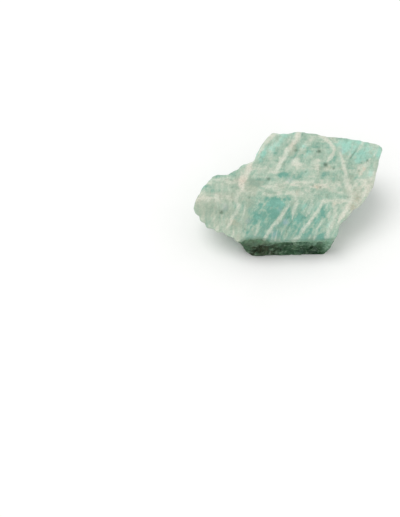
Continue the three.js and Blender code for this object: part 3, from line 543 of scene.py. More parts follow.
def shape():
    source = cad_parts["amazonite_stone"].data
    P, F = arrays(source)
    P = P * 1000.0 - SHIFT
    # one vertex for each place
    _, first, back = np.unique(np.round(P, 4), axis=0, return_index=True, return_inverse=True)
    P, F = P[first], back.reshape(-1)[F]
    F = F[(F[:, 0] != F[:, 1]) & (F[:, 1] != F[:, 2]) & (F[:, 2] != F[:, 0])]
    model = BVHTree.FromPolygons(P.tolist(), F.tolist())
    P, F = remeshed(P, F, COARSE)

    # ---- large forms: soften the model's facets, and keep the rim where it is
    E = edges_of(F)
    u, v, w = on_face(P)
    free = smooth(P[:, 2], 0.1, 1.2)
    n = normals_of(P, F)
    P = relaxed(P, E, 14, free * smooth(n @ N, 0.86, 0.95) * smooth(w, 2.6, 1.6), level=np.ones(len(P)))
    P = relaxed(P, E, 5, free * smooth(w, 1.5, 4.5))
    n = normals_of(P, F)
    broad = unit(relaxed(n, E, 8))
    u, v, w = on_face(P)
    face = smooth(unit(relaxed(n, E, 3)) @ N, 0.80, 0.93) * smooth(w, 4.0, 2.5)         # 1 on the broad face
    front = front_break(P, broad)
    q = crystal(P)
    warp = np.stack([fbm(P / 7 + s, 3, 50 + 3 * s) for s in range(3)], -1)
    qw = q + warp * (1.6, 1.3, 1.0)

    # ---- the walls break into large flats, with ledges along the broad face and some rougher places
    clear = (1 - face) * smooth(w, 0.7, 4.2) * (1 - 0.80 * front)
    flats = facets(P, broad, qw, (12, 9, 6.5), 400, 0.16, 0.50, 1.1)
    ledge = blocks(qw, (12, 7, 3.4), 60)
    stepped = smooth(fbm(P / 9, 2, 66), -0.05, 0.22)
    wall = flats - 0.75 * stepped * smooth(ledge, 0.30, 0.90) + 0.22 * stepped
    wall -= np.maximum(wall, 0) * smooth(w, 7, 3)                      # nothing stands out past the rim
    coarse = smooth(fbm(P / 9, 2, 72), -0.05, 0.30)
    flats = facets(P, broad, qw + 3.1, (6.0, 4.8, 3.8), 410, 0.16, 0.18, 0.50, 42)
    wall += (0.30 + 0.35 * coarse) * (flats - np.maximum(flats, 0) * smooth(w, 6, 2))

    # ---- terraces of the broad face: long cleavage steps that follow the streaks
    t = fbm(np.stack([q[:, 0] / 13, q[:, 1] / 4.6, q[:, 2] / 30], -1) + warp * 0.22, 3, 90)
    flat = 0.30 * stairs(t, 5.0, 0.22) + 0.10 * fbm(P / 5, 2, 95)
    flat += 0.8 * facets(P, broad, qw, (7.5, 4.5, 30), 460, 0.035, 0.10, 0.30)
    flat *= face * smooth(w, 1.4, 0.8)
    # the low front break: a few shallow shelves
    shelf = stairs(fbm(np.stack([P[:, 0] / 5.0, P[:, 2] / 2.2 + 0.25 * P[:, 0] / 5.0, P[:, 1] * 0], -1) + 0.3 * warp, 3, 97), 4.0, 0.22)
    own = facets(P, broad, P + 1.6 * warp, (5.2, 6.0, 3.6), 415, 0.36, 0.30, 0.90, 26)
    lesser = facets(P, broad, P + 1.2 * warp, (2.7, 3.0, 2.1), 417, 0.36, 0.16, 0.50, 30)
    step = 1.35 * shelf - 0.45 + 1.15 * own + 0.90 * lesser
    step = -1.9 * np.tanh(-step / 1.9)
    step = np.where(step > 0, 0.12 * np.tanh(step / 0.12), step) * (1 - 0.85 * smooth(np.abs(P[:, 0] + 0.4), 10.0, 12.6))
    P = P + broad * ((wall * clear + flat) * free)[:, None]
    low = smooth(P[:, 2], -0.5, 1.2)
    P = P + broad * (1.0, 1.0, 0.0) * (step * front * smooth(w, 0.5, 2.2) * low)[:, None]
    P[:, 2] += broad[:, 2] * step * front * smooth(w, 0.5, 2.2) * free
    P[:, 2] = np.maximum(P[:, 2], 0)

    P, F = remeshed(P, F, FINE)
    E = edges_of(F)
    free = smooth(P[:, 2], 0.05, 0.9)
    P = relaxed(P, E, 1, free)
    # thin slivers are broken off
    n = normals_of(P, F)
    _, _, w = on_face(P)
    soft = relaxed(P, E, 10, free)
    out = ((P - soft) * n).sum(1)
    P = P + (soft - P) * (smooth(out, 0.50, 0.85) * smooth(w, 0.9, 1.8) * free)[:, None]
    # the rim keeps the model's outline, teeth and all
    n = normals_of(P, F)
    _, _, w = on_face(P)
    rim = smooth(w, 1.8, 0.9) * smooth(n @ N, 0.985, 0.93) * smooth(P[:, 2], 0.9, 2.5)
    for i in np.nonzero(rim > 0.01)[0]:
        to = model.find_nearest(P[i].tolist())[0]
        step = np.array(to) - P[i]
        P[i] += (step - (step @ N) * N) * rim[i]

    # ---- worn and chipped edges
    n = normals_of(P, F)
    soft = relaxed(P, E, 12, free)
    bulge = ((P - soft) * n).sum(1)                        # above 0 on convex edges
    wide = unit(relaxed(n, E, 6))
    _, _, w = on_face(P)
    q = crystal(P)
    along_rim = smooth((P - O) @ RIGHT, 10, 15)
    keep = (free * (0.35 + 0.45 * along_rim + (0.65 - 0.45 * along_rim) * smooth(w, 0.3, 1.6)))[:, None]
    P = P + keep * chipped(P, wide, bulge, q, (4.6, 3.8, 3.4), 480, 0.45, 0.55)
    P = P + keep * chipped(P, wide, bulge, q + 1.7, (2.2, 1.9, 1.7), 490, 0.45, 0.50)
    n = normals_of(P, F)
    u, v, w = on_face(P)
    soft = relaxed(P, E, 12, free)
    bulge = ((P - soft) * n).sum(1)
    worn = smooth(fbm(P / 3.0, 3, 110), -0.05, 0.35) * (0.10 + 0.90 * smooth(w, 0.6, 2.0))
    P = P + (soft - P) * (worn * smooth(bulge, 0.03, 0.16) * free * 0.45)[:, None]

    # ---- fine relief
    n = normals_of(P, F)
    fine = unit(relaxed(n, E, 3))
    u, v, w = on_face(P)
    q = crystal(P)
    face = smooth(fine @ N, 0.80, 0.93) * smooth(w, 4.0, 2.5)
    front = front_break(P, fine)
    warp = np.stack([fbm(P / 3 + s, 3, 120 + 3 * s) for s in range(3)], -1)
    qf = q + warp * (0.6, 0.5, 0.4)
    chips = facets(P, fine, qf, (3.8, 3.0, 2.0), 430, 0.20, 0.11, 0.38, 48)
    coarse = smooth(fbm(P / 6, 3, 148), -0.05, 0.30)
    small = blocks(qf, (3.8, 2.2, 1.0), 130)
    tiny = blocks(qf + 0.3, (1.9, 1.1, 0.60), 140)
    stepped = smooth(fbm(P / 5.5, 3, 145), 0.00, 0.25)
    ribs = fbm(np.stack([q[:, 0] / 7, q[:, 1] / 0.62, q[:, 2] / 9], -1) + warp * 0.18, 3, 150)
    upright = fbm(np.stack([u / 0.75, v / 5.5, w / 6], -1) + warp * 0.2, 2, 160)   # laminations
    rough = fbm(P / 0.9, 3, 170)
    lumps = fbm(P / 2.2, 3, 175)
    t = fbm(np.stack([q[:, 0] / 5.5, q[:, 1] / 1.9, q[:, 2] / 12], -1) + warp * 0.3, 3, 180)
    lobe = smooth(u, -11.5, -16.5)
    slabs = facets(P, fine, qf, (3.2, 2.2, 30), 470, 0.05, 0.05, 0.15)
    height = face * (0.08 * stairs(t, 4.0, 0.30) + 0.7 * slabs + 0.022 * ribs + (0.020 + 0.030 * lobe) * upright + 0.060 * rough + 0.04 * lumps)
    clear = (1 - face) * (0.40 + 0.60 * smooth(w, 0.3, 2.2)) * (1 - 0.10 * front)
    broken = (0.55 + 0.35 * coarse) * chips - stepped * (0.32 * small + 0.15 * tiny - 0.17)
    height += clear * (broken - 0.7 * np.maximum(broken, 0) * smooth(w, 5, 2))
    height += (1 - face) * ((0.050 + 0.030 * coarse) * rough + 0.030 * upright + 0.035 * ribs + 0.04 * lumps)

    # streaks stand a little proud, pits, cracks and ledges are sunk
    near = smooth(w, 2.6, 1.2) * face
    albite = streak_mask(P, w)
    height += near * 0.035 * smooth(albite, 0.20, 0.80) + 0.03 * (1 - face) * albite
    for line, drop, reach in LEDGES:
        d, where, length = line_distance(u + 0.25 * warp[:, 0], v + 0.25 * warp[:, 1], line, signed=True)
        ends = smooth(where, 0.0, 0.12) * smooth(where, 1.0, 0.90)
        height -= near * ends * 0.6 * drop * smooth(d, -0.05, 0.30) * smooth(d, reach, 0.4) * smooth(np.abs(d), reach, 0.0)
    for pu, pv, r, depth, dark in PITS:
        d = np.hypot(u - pu + 0.15 * lumps, v - pv + 0.15 * rough) / r
        height -= near * depth * np.exp(-(d ** 2) * 1.2)
    for line, half, depth in CRACKS:
        d, _, _ = line_distance(u + 0.2 * warp[:, 0], v + 0.2 * warp[:, 1], line)
        height -= near * depth * np.exp(-((d / half) ** 2)) * smooth(lumps, -0.35, 0.10)
    # scattered small pits
    f1, _, number = cells(P / 3.2, 190)
    height -= 0.22 * smooth(f1, 0.16, 0.05) * (number > 0.62) * (1 - 0.5 * face)
    P = P + fine * (height * free)[:, None]
    n = normals_of(P, F)
    for times, lo, hi in ((60, 0.75, 1.20), (24, 0.45, 0.85), (24, 0.45, 0.85), (10, 0.26, 0.50), (10, 0.26, 0.50), (10, 0.26, 0.50), (3, 0.10, 0.21), (3, 0.10, 0.21)):
        soft = relaxed(P, E, times, free)
        out = ((P - soft) * n).sum(1)
        share = smooth(out, lo, hi) + 0.6 * smooth(-out, 1.3 * lo, 1.8 * hi) * (1 - face)
        P = P + (soft - P) * (share * (0.25 + 0.75 * smooth(w, 0.6, 1.3)) * free)[:, None]
    # the flat that the stone rests on is only dimpled
    sole = 1 - free
    P[:, 2] += sole * 0.12 * smooth(fbm(P / 1.6, 3, 200), 0.0, 0.6)
    P[:, 2] = np.maximum(P[:, 2], 0)
    # places that closed on themselves are opened again
    count = np.bincount(E.ravel(), minlength=len(P)).astype(float)
    for _ in range(6):
        _, back, times = np.unique(np.round(P * 50), axis=0, return_inverse=True, return_counts=True)
        shut = times[back.reshape(-1)] > 1
        if not shut.any():
            break
        P = P + (neighbour_mean(P, E, count) - P) * (0.5 * shut)[:, None]
    return P, F, E


P, F, E = shape()


# ----------------------------------------------------------------------------
# What the material reads: fields kept on the vertices
# ----------------------------------------------------------------------------
def patches(su, sv, marks, ragged):
    out = np.zeros(len(su))
    for pu, pv, a, b, angle, strength in marks:
        near = np.nonzero(np.hypot(su - pu, sv - pv) < 2.2 * max(a, b))[0]
        c, s = math.cos(math.radians(angle)), math.sin(math.radians(angle))
        x, y = su[near] - pu, sv[near] - pv
        d = np.hypot((x * c + y * s) / a, (-x * s + y * c) / b)
        out[near] = np.maximum(out[near], strength * smooth(d + 0.75 * ragged[near], 1.60, 0.05))
    return out


def fields(P, F, E):
    n = normals_of(P, F)
    u, v, w = on_face(P)
    su, sv = sheets(P, w)
    q = crystal(P)
    top = smooth(w, 6.0, 1.5)                      # near the broad face
    inner = 1 - top
    ragged = fbm(P / 1.0, 4, 230, 0.62)
    out = {}

    # albite
    streak = streak_mask(P, w)
    s = q[:, 1] + 0.16 * q[:, 2] + 1.2 * fbm(P / 6, 3, 210)       # deeper layers
    gap = 3.9
    zero = np.zeros(len(P))
    cell = np.floor(s / gap)
    centre = (cell + 0.25 + 0.5 * chance(cell, zero, zero, 211)) * gap
    half = 0.28 + 0.55 * chance(cell, zero, zero, 212) ** 2
    broken = smooth(fbm(np.stack([q[:, 0] / 5, cell * 3.1, q[:, 2] / 4], -1), 3, 213), -0.12, 0.20)
    other = broken * smooth(np.abs(s - centre) / half + 0.5 * ragged, 1.7, 0.4) * (0.55 + 0.4 * chance(cell, zero, zero, 214))
    streak = np.maximum(streak, other * inner)
    # faint threads beside them
    thread = fbm(np.stack([q[:, 0] / 8, q[:, 1] / 0.75, q[:, 2] / 8], -1) + 0.25 * fbm(P / 3, 2, 216)[:, None], 3, 217)
    faint = smooth(thread, 0.16, 0.48) * smooth(fbm(P / 4.5, 2, 219), -0.30, 0.30)

    band = np.zeros(len(P))
    shreds = fbm(np.stack([u / 2.6, v / 0.8, w / 2.5], -1), 3, 222)
    for line, w0, w1, strength in BANDS:
        d, where, length = line_distance(su, sv, line)
        half = (w0 + (w1 - w0) * where) * 1.25 * (0.55 + 0.45 * smooth(np.minimum(where, 1 - where) * length, 0.0, 1.8))
        band = np.maximum(band, strength * smooth((d + 0.55 * ragged + 0.45 * shreds) / half + 0.30 * ragged, 1.70, 0.10))
    band = band * smooth(w, 14, 6)
    veil = fbm(np.stack([q[:, 0] / 11, q[:, 1] / 11, q[:, 2] / 4.5], -1), 4, 225)
    band = np.maximum(band, 0.62 * smooth(veil + 0.25 * ragged, 0.10, 0.55) * inner)

    teal = patches(su, sv, TEAL, ragged) * top
    teal = np.maximum(teal, 0.80 * smooth(fbm(P / (6.5, 6.5, 4.5), 5, 235, 0.62) + 0.30 * ragged, 0.00, 0.52) * inner)
    mint = patches(su, sv, MINT, ragged) * top
    mint = np.maximum(mint, 0.45 * smooth(fbm(P / 5.0, 5, 255, 0.62) + 0.30 * ragged, 0.12, 0.60) * (0.3 + 0.7 * inner))
    dull = patches(su, sv, DULL, ragged) * top
    dull = np.maximum(dull, 0.55 * smooth(fbm(P / 7.0, 5, 260, 0.6), 0.12, 0.50) * inner)

    cloud = fbm(P / 5.5, 4, 265)
    mottle = fbm(P / 1.5, 4, 270, 0.6)
    along = fbm(np.stack([q[:, 0] / 4.5, q[:, 1] / 0.95, q[:, 2] / 4.5], -1), 3, 275)
    upright = fbm(np.stack([u / 0.62, v / 4.2, w / 5.0], -1) + 0.2 * fbm(P / 2, 2, 277)[:, None], 3, 278)
    lobe = smooth(u, -11.0, -15.5) * top
    spread = fbm(np.stack([u / 1.5, v / 0.85, w / 2.0], -1), 4, 282, 0.6)

    level = fbm(np.stack([u / 3.4, v / 0.62, w / 3.0], -1) + 0.25 * fbm(P / 2.5, 2, 283)[:, None], 3, 284)
    slant = fbm(np.stack([q[:, 0] / 3.2, q[:, 1] / 0.60, q[:, 2] / 3.2], -1), 3, 287)
    grainy = 0.62 * mottle + 0.50 * (level + (slant - level) * smooth(v, -1.5, -5.5)) * top
    grainy += 0.38 * mottle * inner

    tone = 0.40 + 0.12 * cloud + 0.42 * grainy + (0.12 - 0.06 * lobe) * along + (0.12 + 0.26 * lobe) * upright
    # the second term darkens the broad face along its low edge, above the front break: painted shade
    tone += 0.09 * lobe - 0.34 * smooth(v, -11.5, -16.5) * smooth(np.abs(u), 17, 12) * top
    tone += 0.15 * smooth(u, 20.0, 25.0) * smooth(v, 12.0, 6.0) * top
    # the broad face is painted lighter along its right rim: a painted highlight
    tone += 0.22 * smooth(u - 0.55 * v, 21.5, 25.0) * smooth(v, 9.0, 5.0) * top
    tint = -0.025 * top
    for tu, tv, a, b, lighter, greener in TINTS:
        share = smooth(np.hypot((u - tu) / a, (v - tv) / b) + 0.30 * ragged + 0.25 * mottle, 1.35, 0.10) * top
        tone += lighter * share
        tint += greener * share
    tint += 0.08 * top * (smooth(v, 10.0, 14.0) - smooth(v, 8.0, 2.0))
    tone += faint * 0.20 * (1 - 0.5 * teal)
    tone -= 0.50 * teal * (1 - 0.5 * np.clip(streak, 0, 1))
    tone -= 0.30 * dull
    tone += 0.05 * mint
    tone += (0.74 + 0.16 * mottle - tone) * np.clip(band * (0.86 + 1.5 * spread), 0, 0.85)
    out["tone"] = tone
    out["streak"] = np.clip(np.maximum(streak, 0.58 * band * np.clip(0.66 + 1.7 * spread, 0.0, 1.2)), 0, 1)
    out["cool"] = np.clip(0.80 * mint + 0.25 * teal - 0.75 * dull - 0.15 * band - 0.30 * lobe + 0.45 * fbm(P / 3.2, 3, 280) + 0.55 * mottle * (0.3 + mint) + tint, -1, 1)
    out["warm"] = np.clip(0.45 + 1.0 * fbm(P / 3.6, 3, 285) + 0.5 * smooth(np.hypot(u + 13, v - 5), 6, 2), 0, 1)

    # pits and cracks are darker
    pit = np.zeros(len(P))
    near = smooth(w, 3.0, 1.2)
    for pu, pv, r, depth, dark in PITS:
        d = np.hypot(u - pu + 0.65 * mottle, v - pv + 0.55 * ragged) / r
        pit = np.maximum(pit, dark * np.exp(-(d ** 2) * 0.95) * near)
    for line, half, depth in CRACKS:
        d, _, _ = line_distance(u + 0.2 * mottle, v, line)
        pit = np.maximum(pit, 0.40 * np.exp(-((d / half) ** 2)) * near * smooth(mottle, -0.3, 0.3))
    f1, _, number = cells(P / 3.2, 190)
    pit = np.maximum(pit, 0.34 * smooth(f1, 0.18, 0.06) * (number > 0.62))
    out["pit"] = pit

    rust = np.zeros(len(P))
    for ru, rv, r, strength in RUST:
        d = np.hypot(u - ru, v - rv) / r
        rust = np.maximum(rust, strength * smooth(d + 0.6 * ragged, 1.5, 0.1) * smooth(w, 7, 4))
    stains = smooth(fbm(P / 5.0, 4, 245), 0.26, 0.60) * smooth(noise(P / 13, 246), -0.05, 0.45) * inner
    out["rust"] = np.maximum(rust, 0.60 * stains)
    lilac = np.zeros(len(P))
    for lu, lv, r, strength in LILAC:
        d = np.hypot(u - lu, v - lv) / r
        lilac = np.maximum(lilac, strength * smooth(d + 0.4 * ragged, 1.5, 0.1) * near)
    out["lilac"] = lilac

    soft = relaxed(P, E, 8)
    bulge = ((P - soft) * n).sum(1)
    out["edge"] = smooth(bulge, 0.035, 0.17) * (1 - smooth(w, 1.4, 0.4) * (0.45 + 0.30 * smooth(v, -15.0, -17.0) + 0.35 * smooth(v - 0.25 * u, 9.0, 12.0)))
    out["hollow"] = smooth(-bulge, 0.02, 0.14)
    front = front_break(P, unit(relaxed(n, E, 3)))
    d = (P - FRONT_P) @ (FRONT_N / np.linalg.norm(FRONT_N))
    front = smooth(front + 0.34 * ragged + 0.20 * mottle, 0.02, 0.90)
    # on the left the dark front colour is carried over the rim onto the broad face: painted shade
    left = smooth(P[:, 0] + 0.8 * cloud, -4.5, -11.5) * smooth(P[:, 0], -17.5, -14.0)
    front = np.maximum(front, smooth(left, 0.0, 0.15) * smooth(d + 1.25 * left + 0.45 * ragged + 0.25 * mottle, -0.20, 0.50) * smooth(w, 1.2, 0.4))
    out["front"] = front
    # a darker green strip on the broad face along the front break's left rim: painted shade
    out["painted_shade_fringe"] = smooth(d + 1.10 * left + 0.30 * ragged + 0.15 * mottle, -0.85, -0.10) * smooth(w, 1.2, 0.4) * (1 - front)
    # a green shade fading out around the dark front break, stronger low down: painted shade
    out["painted_shade_halo"] = (smooth(d + 4.6 + 3.2 * fbm(P / 3.4, 4, 322, 0.6), 0.0, 5.0) * smooth(P[:, 2] + 2.0 * cloud, 13.0, 8.0)
                   * (1 - smooth(n @ N, 0.40, 0.65)))
    out["cool"] -= np.clip(out["cool"], 0, 1) * 0.90 * smooth(d, -4.0, -1.6) * smooth(w, 0.5, 1.3)
    # darker towards the bottom of the front break, down to nearly black: painted shade
    out["under"] = smooth(front, 0.55, 1.0) * smooth(P[:, 2] + 1.4 * ragged + 0.8 * cloud, 9.6, 5.2) * (1 - 0.50 * smooth(np.abs(P[:, 0] + 1.4) + 1.5 * cloud, 6.0, 2.0)) * (1 - 0.50 * smooth(P[:, 0] + 1.6 * ragged + 1.2 * mottle, 8.8, 12.0))
    # the front break's top edge and right end are painted lighter green, as if lit: painted light
    right = smooth(P[:, 0] + 1.2 * cloud, -9.0, -1.0)
    end = smooth(P[:, 0] + 0.8 * ragged, 10.2, 12.0)
    depth = w + 0.8 * ragged + 0.5 * mottle
    out["painted_lit_lip"] = np.clip(smooth(depth, 4.4, 1.2) * (0.12 + 0.88 * right) + 0.60 * end * smooth(depth, 8.5, 5.0), 0, 1)
    out["front"] = front * (1 - 0.65 * smooth(P[:, 0] + 0.8 * ragged, 11.8, 13.2) * smooth(depth, 3.0, 0.8))
    # the lower part of the front break is painted darker still: painted contact shade
    painted_contact_shade = 0.80 * smooth(front, 0.55, 1.0) * smooth(P[:, 2] + 1.2 * ragged + 0.8 * cloud, 6.8, 4.0) * smooth(P[:, 0] + 1.5 * mottle, 11.5, 8.5)
    out["under"] = np.maximum(out["under"], painted_contact_shade)
    out["brown"] = np.clip(smooth(P[:, 0] + 2.2 * cloud, 0.0, -7.5) * 0.75
                           + smooth(np.hypot(P[:, 0] - 9.8, P[:, 2] - 7.4) + 0.5 * ragged, 1.6, 0.3), 0, 1) * smooth(ragged, -0.5, 0.3)
    return out


me = as_mesh(P / 1000.0 + SHIFT / 1000.0, F, "amazonite")
made = fields(P, F, E)
for name, values in made.items():
    me.attributes.new(name, "FLOAT", "POINT").data.foreach_set("value", values.astype(np.float32))
me.polygons.foreach_set("use_smooth", np.ones(len(me.polygons), bool))
# faces mostly on the front break take the shaded copy of the material
me.polygons.foreach_set("material_index", (made["front"][F].mean(1) > 0.6).astype(np.int32))
stone = bpy.data.objects.new("rough_amazonite", me)
bpy.context.scene.collection.objects.link(stone)


# ----------------------------------------------------------------------------
# Material
# ----------------------------------------------------------------------------
class Nodes:
    def __init__(self, name):
        self.mat = bpy.data.materials.new(name)
        self.mat.use_nodes = True
        self.tree = self.mat.node_tree
        self.tree.nodes.clear()

    def add(self, kind, **settings):
        n = self.tree.nodes.new(kind)
        for k, value in settings.items():
            setattr(n, k, value)
        return n

    def link(self, a, b):
        self.tree.links.new(a, b)

    def put(self, socket, value):
        if hasattr(value, "is_output"):
            self.link(value, socket)
        else:
            socket.default_value = value

    def attr(self, name):
        return self.add("ShaderNodeAttribute", attribute_type="GEOMETRY", attribute_name=name).outputs["Fac"]

    def math(self, operation, a, b=0.0, c=None, clamp=False):
        n = self.add("ShaderNodeMath", operation=operation, use_clamp=clamp)
        self.put(n.inputs[0], a)
        self.put(n.inputs[1], b)
        if c is not None:
            self.put(n.inputs[2], c)
        return n.outputs[0]

    def range(self, value, a, b, lo=0.0, hi=1.0, soft=True):
        n = self.add("ShaderNodeMapRange", interpolation_type="SMOOTHSTEP" if soft else "LINEAR", clamp=True)
        self.put(n.inputs["Value"], value)
        for name, x in (("From Min", a), ("From Max", b), ("To Min", lo), ("To Max", hi)):
            n.inputs[name].default_value = x
        return n.outputs[0]

    def mix(self, share, a, b, blend="MIX"):
        n = self.add("ShaderNodeMix", data_type="RGBA", blend_type=blend, clamp_factor=True)
        self.put(n.inputs[0], share)
        self.put(n.inputs[6], a)
        self.put(n.inputs[7], b)
        return n.outputs[2]

    def ramp(self, value, stops):
        n = self.add("ShaderNodeValToRGB")
        self.link(value, n.inputs[0])
        line = n.color_ramp
        line.interpolation = "LINEAR"
        while len(line.elements) < len(stops):
            line.elements.new(0.5)
        for e, (place, colour) in zip(line.elements, stops):
            e.position = place
            e.color = colour
        return n.outputs[0]

    def noise(self, vector, scale, detail=3.0, rough=0.55, distort=0.0):
        n = self.add("ShaderNodeTexNoise", noise_dimensions="3D")
        self.link(vector, n.inputs["Vector"])
        n.inputs["Scale"].default_value = scale
        n.inputs["Detail"].default_value = detail
        n.inputs["Roughness"].default_value = rough
        n.inputs["Distortion"].default_value = distort
        return n.outputs["Fac"]

    def placed(self, vector, turn=(0, 0, 0), size=(1, 1, 1), move=(0, 0, 0)):
        n = self.add("ShaderNodeMapping", vector_type="POINT")
        self.link(vector, n.inputs["Vector"])
        n.inputs["Rotation"].default_value = turn
        n.inputs["Scale"].default_value = size
        n.inputs["Location"].default_value = move
        return n.outputs[0]


def rgb(r, g, b):
    """sRGB 0-255 to linear."""
    lin = [((c / 255 + 0.055) / 1.055) ** 2.4 if c / 255 > 0.04045 else c / 255 / 12.92 for c in (r, g, b)]
    return (*lin, 1.0)


def stone_material(name, shine, gloss_lo, gloss_hi):
    t = Nodes(name)
    coords = t.add("ShaderNodeTexCoord").outputs["Object"]
    mm = t.placed(coords, size=(1000, 1000, 1000))          # millimetres
    lie = t.placed(mm, turn=(-TILT, 0, 0))                  # along the broad face
    along = t.placed(lie, turn=(0, 0, -STREAK_WAY))         # and its streaks
    ribbed = t.placed(along, size=(0.22, 1.0, 0.22))

    tone, streak, cool, warm = t.attr("tone"), t.attr("streak"), t.attr("cool"), t.attr("warm")
    pit, rust, lilac = t.attr("pit"), t.attr("rust"), t.attr("lilac")
    edge, hollow = t.attr("edge"), t.attr("hollow")
    front, under, brown, painted_shade_halo = t.attr("front"), t.attr("under"), t.attr("brown"), t.attr("painted_shade_halo")
    painted_shade_fringe, painted_lit_lip = t.attr("painted_shade_fringe"), t.attr("painted_lit_lip")

    grain = t.noise(mm, 1.25, 5.0, 0.62)
    speck = t.noise(mm, 3.4, 3.0, 0.60)
    lam = t.noise(ribbed, 1.9, 4.0, 0.60)
    centred = lambda x, k: t.math("MULTIPLY", t.math("SUBTRACT", x, 0.5), k)

    tone = t.math("ADD", tone, centred(grain, 0.42))
    tone = t.math("ADD", tone, centred(lam, 0.26))
    ground = t.ramp(tone, [
        (0.00, rgb(104, 158, 142)), (0.14, rgb(130, 169, 151)), (0.30, rgb(150, 179, 160)), (0.46, rgb(166, 188, 169)),
        (0.62, rgb(181, 196, 178)), (0.78, rgb(198, 205, 188)), (0.92, rgb(213, 216, 201)), (1.00, rgb(226, 228, 215))])
    # cooler and duller places
    ground = t.mix(t.range(cool, 0.02, 1.05, 0.0, 0.74), ground, rgb(154, 210, 194))
    ground = t.mix(t.range(cool, -0.05, -0.85, 0.0, 0.55), ground, rgb(167, 173, 153))
    # albite, cream to pinkish
    rag = t.math("ADD", streak, t.math("MULTIPLY", t.math("ADD", centred(grain, 0.44), centred(speck, 0.28)), t.range(streak, 0.0, 0.3)))
    pale = t.mix(t.math("MULTIPLY", warm, 0.6), rgb(205, 213, 197), rgb(219, 208, 192))
    pale = t.mix(t.range(speck, 0.48, 0.70, 0.0, 0.5), pale, rgb(227, 227, 217))
    pale = t.mix(t.range(grain, 0.46, 0.32, 0.0, 0.5), pale, rgb(178, 184, 160))
    ground = t.mix(t.range(rag, 0.08, 0.95, 0.0, 0.96), ground, pale)
    # stains
    ground = t.mix(t.math("MULTIPLY", rust, t.range(grain, 0.40, 0.62, 0.35, 0.85)), ground, rgb(186, 150, 116))
    ground = t.mix(t.math("MULTIPLY", lilac, 0.50), ground, rgb(158, 176, 192))
    # flecks
    ground = t.mix(t.range(speck, 0.64, 0.76, 0.0, 0.40), ground, rgb(228, 233, 224))
    ground = t.mix(t.range(speck, 0.36, 0.26, 0.0, 0.32), ground, rgb(112, 146, 130))
    ground = t.mix(1.0, ground, t.range(t.noise(mm, 2.4, 4.0, 0.75), 0.30, 0.70, 0.842, 1.150, soft=False), "MULTIPLY")
    # worn edges are paler, hollows are darker
    ground = t.mix(t.math("MULTIPLY", edge, 0.42), ground, rgb(211, 225, 212))
    ground = t.mix(t.math("MULTIPLY", hollow, 0.36), ground, rgb(112, 142, 120))
    ground = t.mix(t.math("MULTIPLY", pit, t.range(grain, 0.35, 0.65, 0.95, 0.55), clamp=True), ground, rgb(84, 108, 92))
    # the low front break: painted shade, green at the edge, then nearly black, with a painted green shade fading out
    # around it
    ground = t.mix(t.math("MULTIPLY", painted_shade_halo, t.range(grain, 0.36, 0.62, 0.72, 0.40)), ground, rgb(98, 138, 116))
    # the broad face's low rim on the left is painted darker green: painted shade
    ground = t.mix(t.math("MULTIPLY", painted_shade_fringe, 0.62), ground, rgb(92, 128, 106))
    # the front break runs from mid green at the top to nearly black below: painted shade
    dark = t.mix(under, rgb(88, 126, 95), rgb(11, 45, 21))
    blotch = t.noise(t.placed(mm, size=(1.0, 1.0, 0.7), move=(9.0, 2.0, 1.0)), 0.75, 5.0, 0.68)
    dark = t.mix(t.range(blotch, 0.50, 0.66, 0.0, 0.75), dark, rgb(34, 60, 40))
    dark = t.mix(t.range(blotch, 0.44, 0.30, 0.0, 0.60), dark, rgb(104, 140, 112))
    dark = t.mix(t.math("MULTIPLY", brown, 0.80), dark, rgb(58, 50, 36))
    dark = t.mix(t.range(t.noise(t.placed(mm, size=(1.0, 1.0, 0.5), move=(3.0, 0.0, 5.0)), 0.30, 5.0, 0.66), 0.47, 0.62, 0.0, 0.55), dark, rgb(68, 104, 76))
    dark = t.mix(t.range(grain, 0.52, 0.70, 0.0, 0.40), dark, rgb(80, 110, 82))
    dark = t.mix(t.range(lam, 0.46, 0.32, 0.0, 0.55), dark, rgb(28, 48, 34))
    dark = t.mix(t.range(rag, 0.25, 0.90, 0.0, 0.36), dark, rgb(112, 130, 102))
    dark = t.mix(t.math("MULTIPLY", hollow, 0.65), dark, rgb(18, 36, 24))
    dark = t.mix(t.math("MULTIPLY", edge, 0.62), dark, rgb(126, 152, 126))
    # lighter green for the front break's top edge and right end: painted light
    painted_lit_green = t.mix(t.range(blotch, 0.42, 0.60), rgb(166, 202, 178), rgb(124, 164, 138))
    painted_lit_green = t.mix(t.range(rag, 0.25, 0.90, 0.0, 0.55), painted_lit_green, rgb(194, 204, 182))
    dark = t.mix(t.math("MULTIPLY", painted_lit_lip, t.range(grain, 0.36, 0.64, 0.42, 0.90)), dark, painted_lit_green)
    skin = t.range(t.noise(t.placed(mm, size=(1.0, 1.0, 0.55)), 0.42, 5.0, 0.62), 0.36, 0.52, 0.86, 1.0)
    ground = t.mix(t.math("MULTIPLY", front, skin), ground, dark)

    shader = t.add("ShaderNodeBsdfPrincipled")
    t.link(ground, shader.inputs["Base Color"])
    gloss = t.math("ADD", t.range(grain, 0.3, 0.7, gloss_lo, gloss_hi, soft=False), t.math("MULTIPLY", hollow, 0.15), clamp=True)
    t.link(gloss, shader.inputs["Roughness"])
    shader.inputs["IOR"].default_value = 1.53
    shader.inputs["Specular IOR Level"].default_value = shine
    shader.inputs["Subsurface Weight"].default_value = 0.12
    shader.inputs["Subsurface Radius"].default_value = (0.7, 1.0, 0.85)
    shader.inputs["Subsurface Scale"].default_value = 0.0010
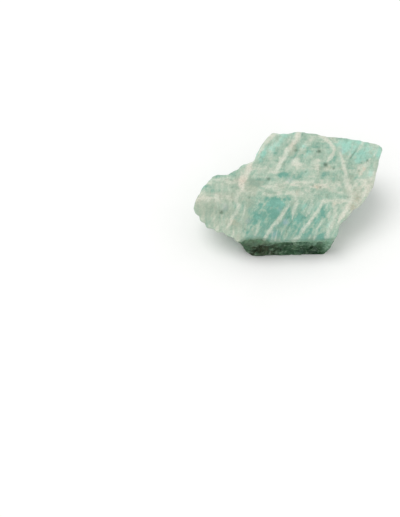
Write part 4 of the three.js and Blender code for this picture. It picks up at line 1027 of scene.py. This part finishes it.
    # fine relief
    relief = t.math("MULTIPLY_ADD", t.noise(mm, 2.2, 6.0, 0.68), 0.6, t.math("MULTIPLY", t.noise(ribbed, 3.2, 4.0, 0.65), 0.4))
    bump = t.add("ShaderNodeBump")
    bump.inputs["Strength"].default_value = 0.70
    bump.inputs["Distance"].default_value = 0.00035
    t.link(relief, bump.inputs["Height"])
    t.link(bump.outputs[0], shader.inputs["Normal"])
    out = t.add("ShaderNodeOutputMaterial")
    t.link(shader.outputs[0], out.inputs["Surface"])
    return t.mat


me.materials.append(stone_material("amazonite", 0.38, 0.46, 0.64))
# a shaded copy of the stone's material, with less shine and more roughness, for the front break so its painted shade
# stays dark
me.materials.append(stone_material("amazonite_front_break_shaded", 0.12, 0.70, 0.85))
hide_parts("amazonite_stone")
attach(stone, "root")


# ----------------------------------------------------------------------------
# Floor, light and camera
# ----------------------------------------------------------------------------
def floor():
    t = Nodes("pale_floor")
    mm = t.placed(t.add("ShaderNodeTexCoord").outputs["Object"], size=(1000, 1000, 1000))
    tone = t.mix(t.range(t.noise(mm, 0.02, 3.0), 0.3, 0.7), rgb(241, 241, 240), rgb(244, 244, 243))
    shader = t.add("ShaderNodeBsdfPrincipled")
    t.link(tone, shader.inputs["Base Color"])
    shader.inputs["Roughness"].default_value = 0.9
    shader.inputs["Specular IOR Level"].default_value = 0.1
    out = t.add("ShaderNodeOutputMaterial")
    t.link(shader.outputs[0], out.inputs["Surface"])
    s = 6.0
    me = bpy.data.meshes.new("floor")
    me.from_pydata([(-s, -s, 0), (s, -s, 0), (s, s, 0), (-s, s, 0)], [], [(0, 1, 2, 3)])
    me.materials.append(t.mat)
    ob = bpy.data.objects.new("floor", me)
    ob.location = (0, 0, -0.00002)
    bpy.context.scene.collection.objects.link(ob)


floor()

world = bpy.data.worlds.new("studio")
bpy.context.scene.world = world
world.use_nodes = True
back = world.node_tree.nodes["Background"]
back.inputs["Color"].default_value = (1.0, 1.0, 1.0, 1.0)
back.inputs["Strength"].default_value = 0.80


def sun(name, towards, angle, strength):
    data = bpy.data.lights.new(name, "SUN")
    data.angle = math.radians(angle)
    data.energy = strength
    ob = bpy.data.objects.new(name, data)
    ob.rotation_euler = Vector(towards).to_track_quat("-Z", "Y").to_euler()
    bpy.context.scene.collection.objects.link(ob)


sun("key", (0.36, -0.02, -1.0), 40, 1.20)

cam_data = bpy.data.cameras.new("camera")
cam_data.lens = LENS
cam_data.sensor_width = 36.0
cam_data.clip_start, cam_data.clip_end = 0.01, 50.0
cam = bpy.data.objects.new("camera", cam_data)
cam.location = Vector((CAMERA + SHIFT) / 1000.0)
cam.rotation_euler = (math.radians(90.0 - PITCH), 0.0, 0.0)
bpy.context.scene.collection.objects.link(cam)
bpy.context.scene.camera = cam

bpy.context.scene.view_settings.view_transform = "Standard"
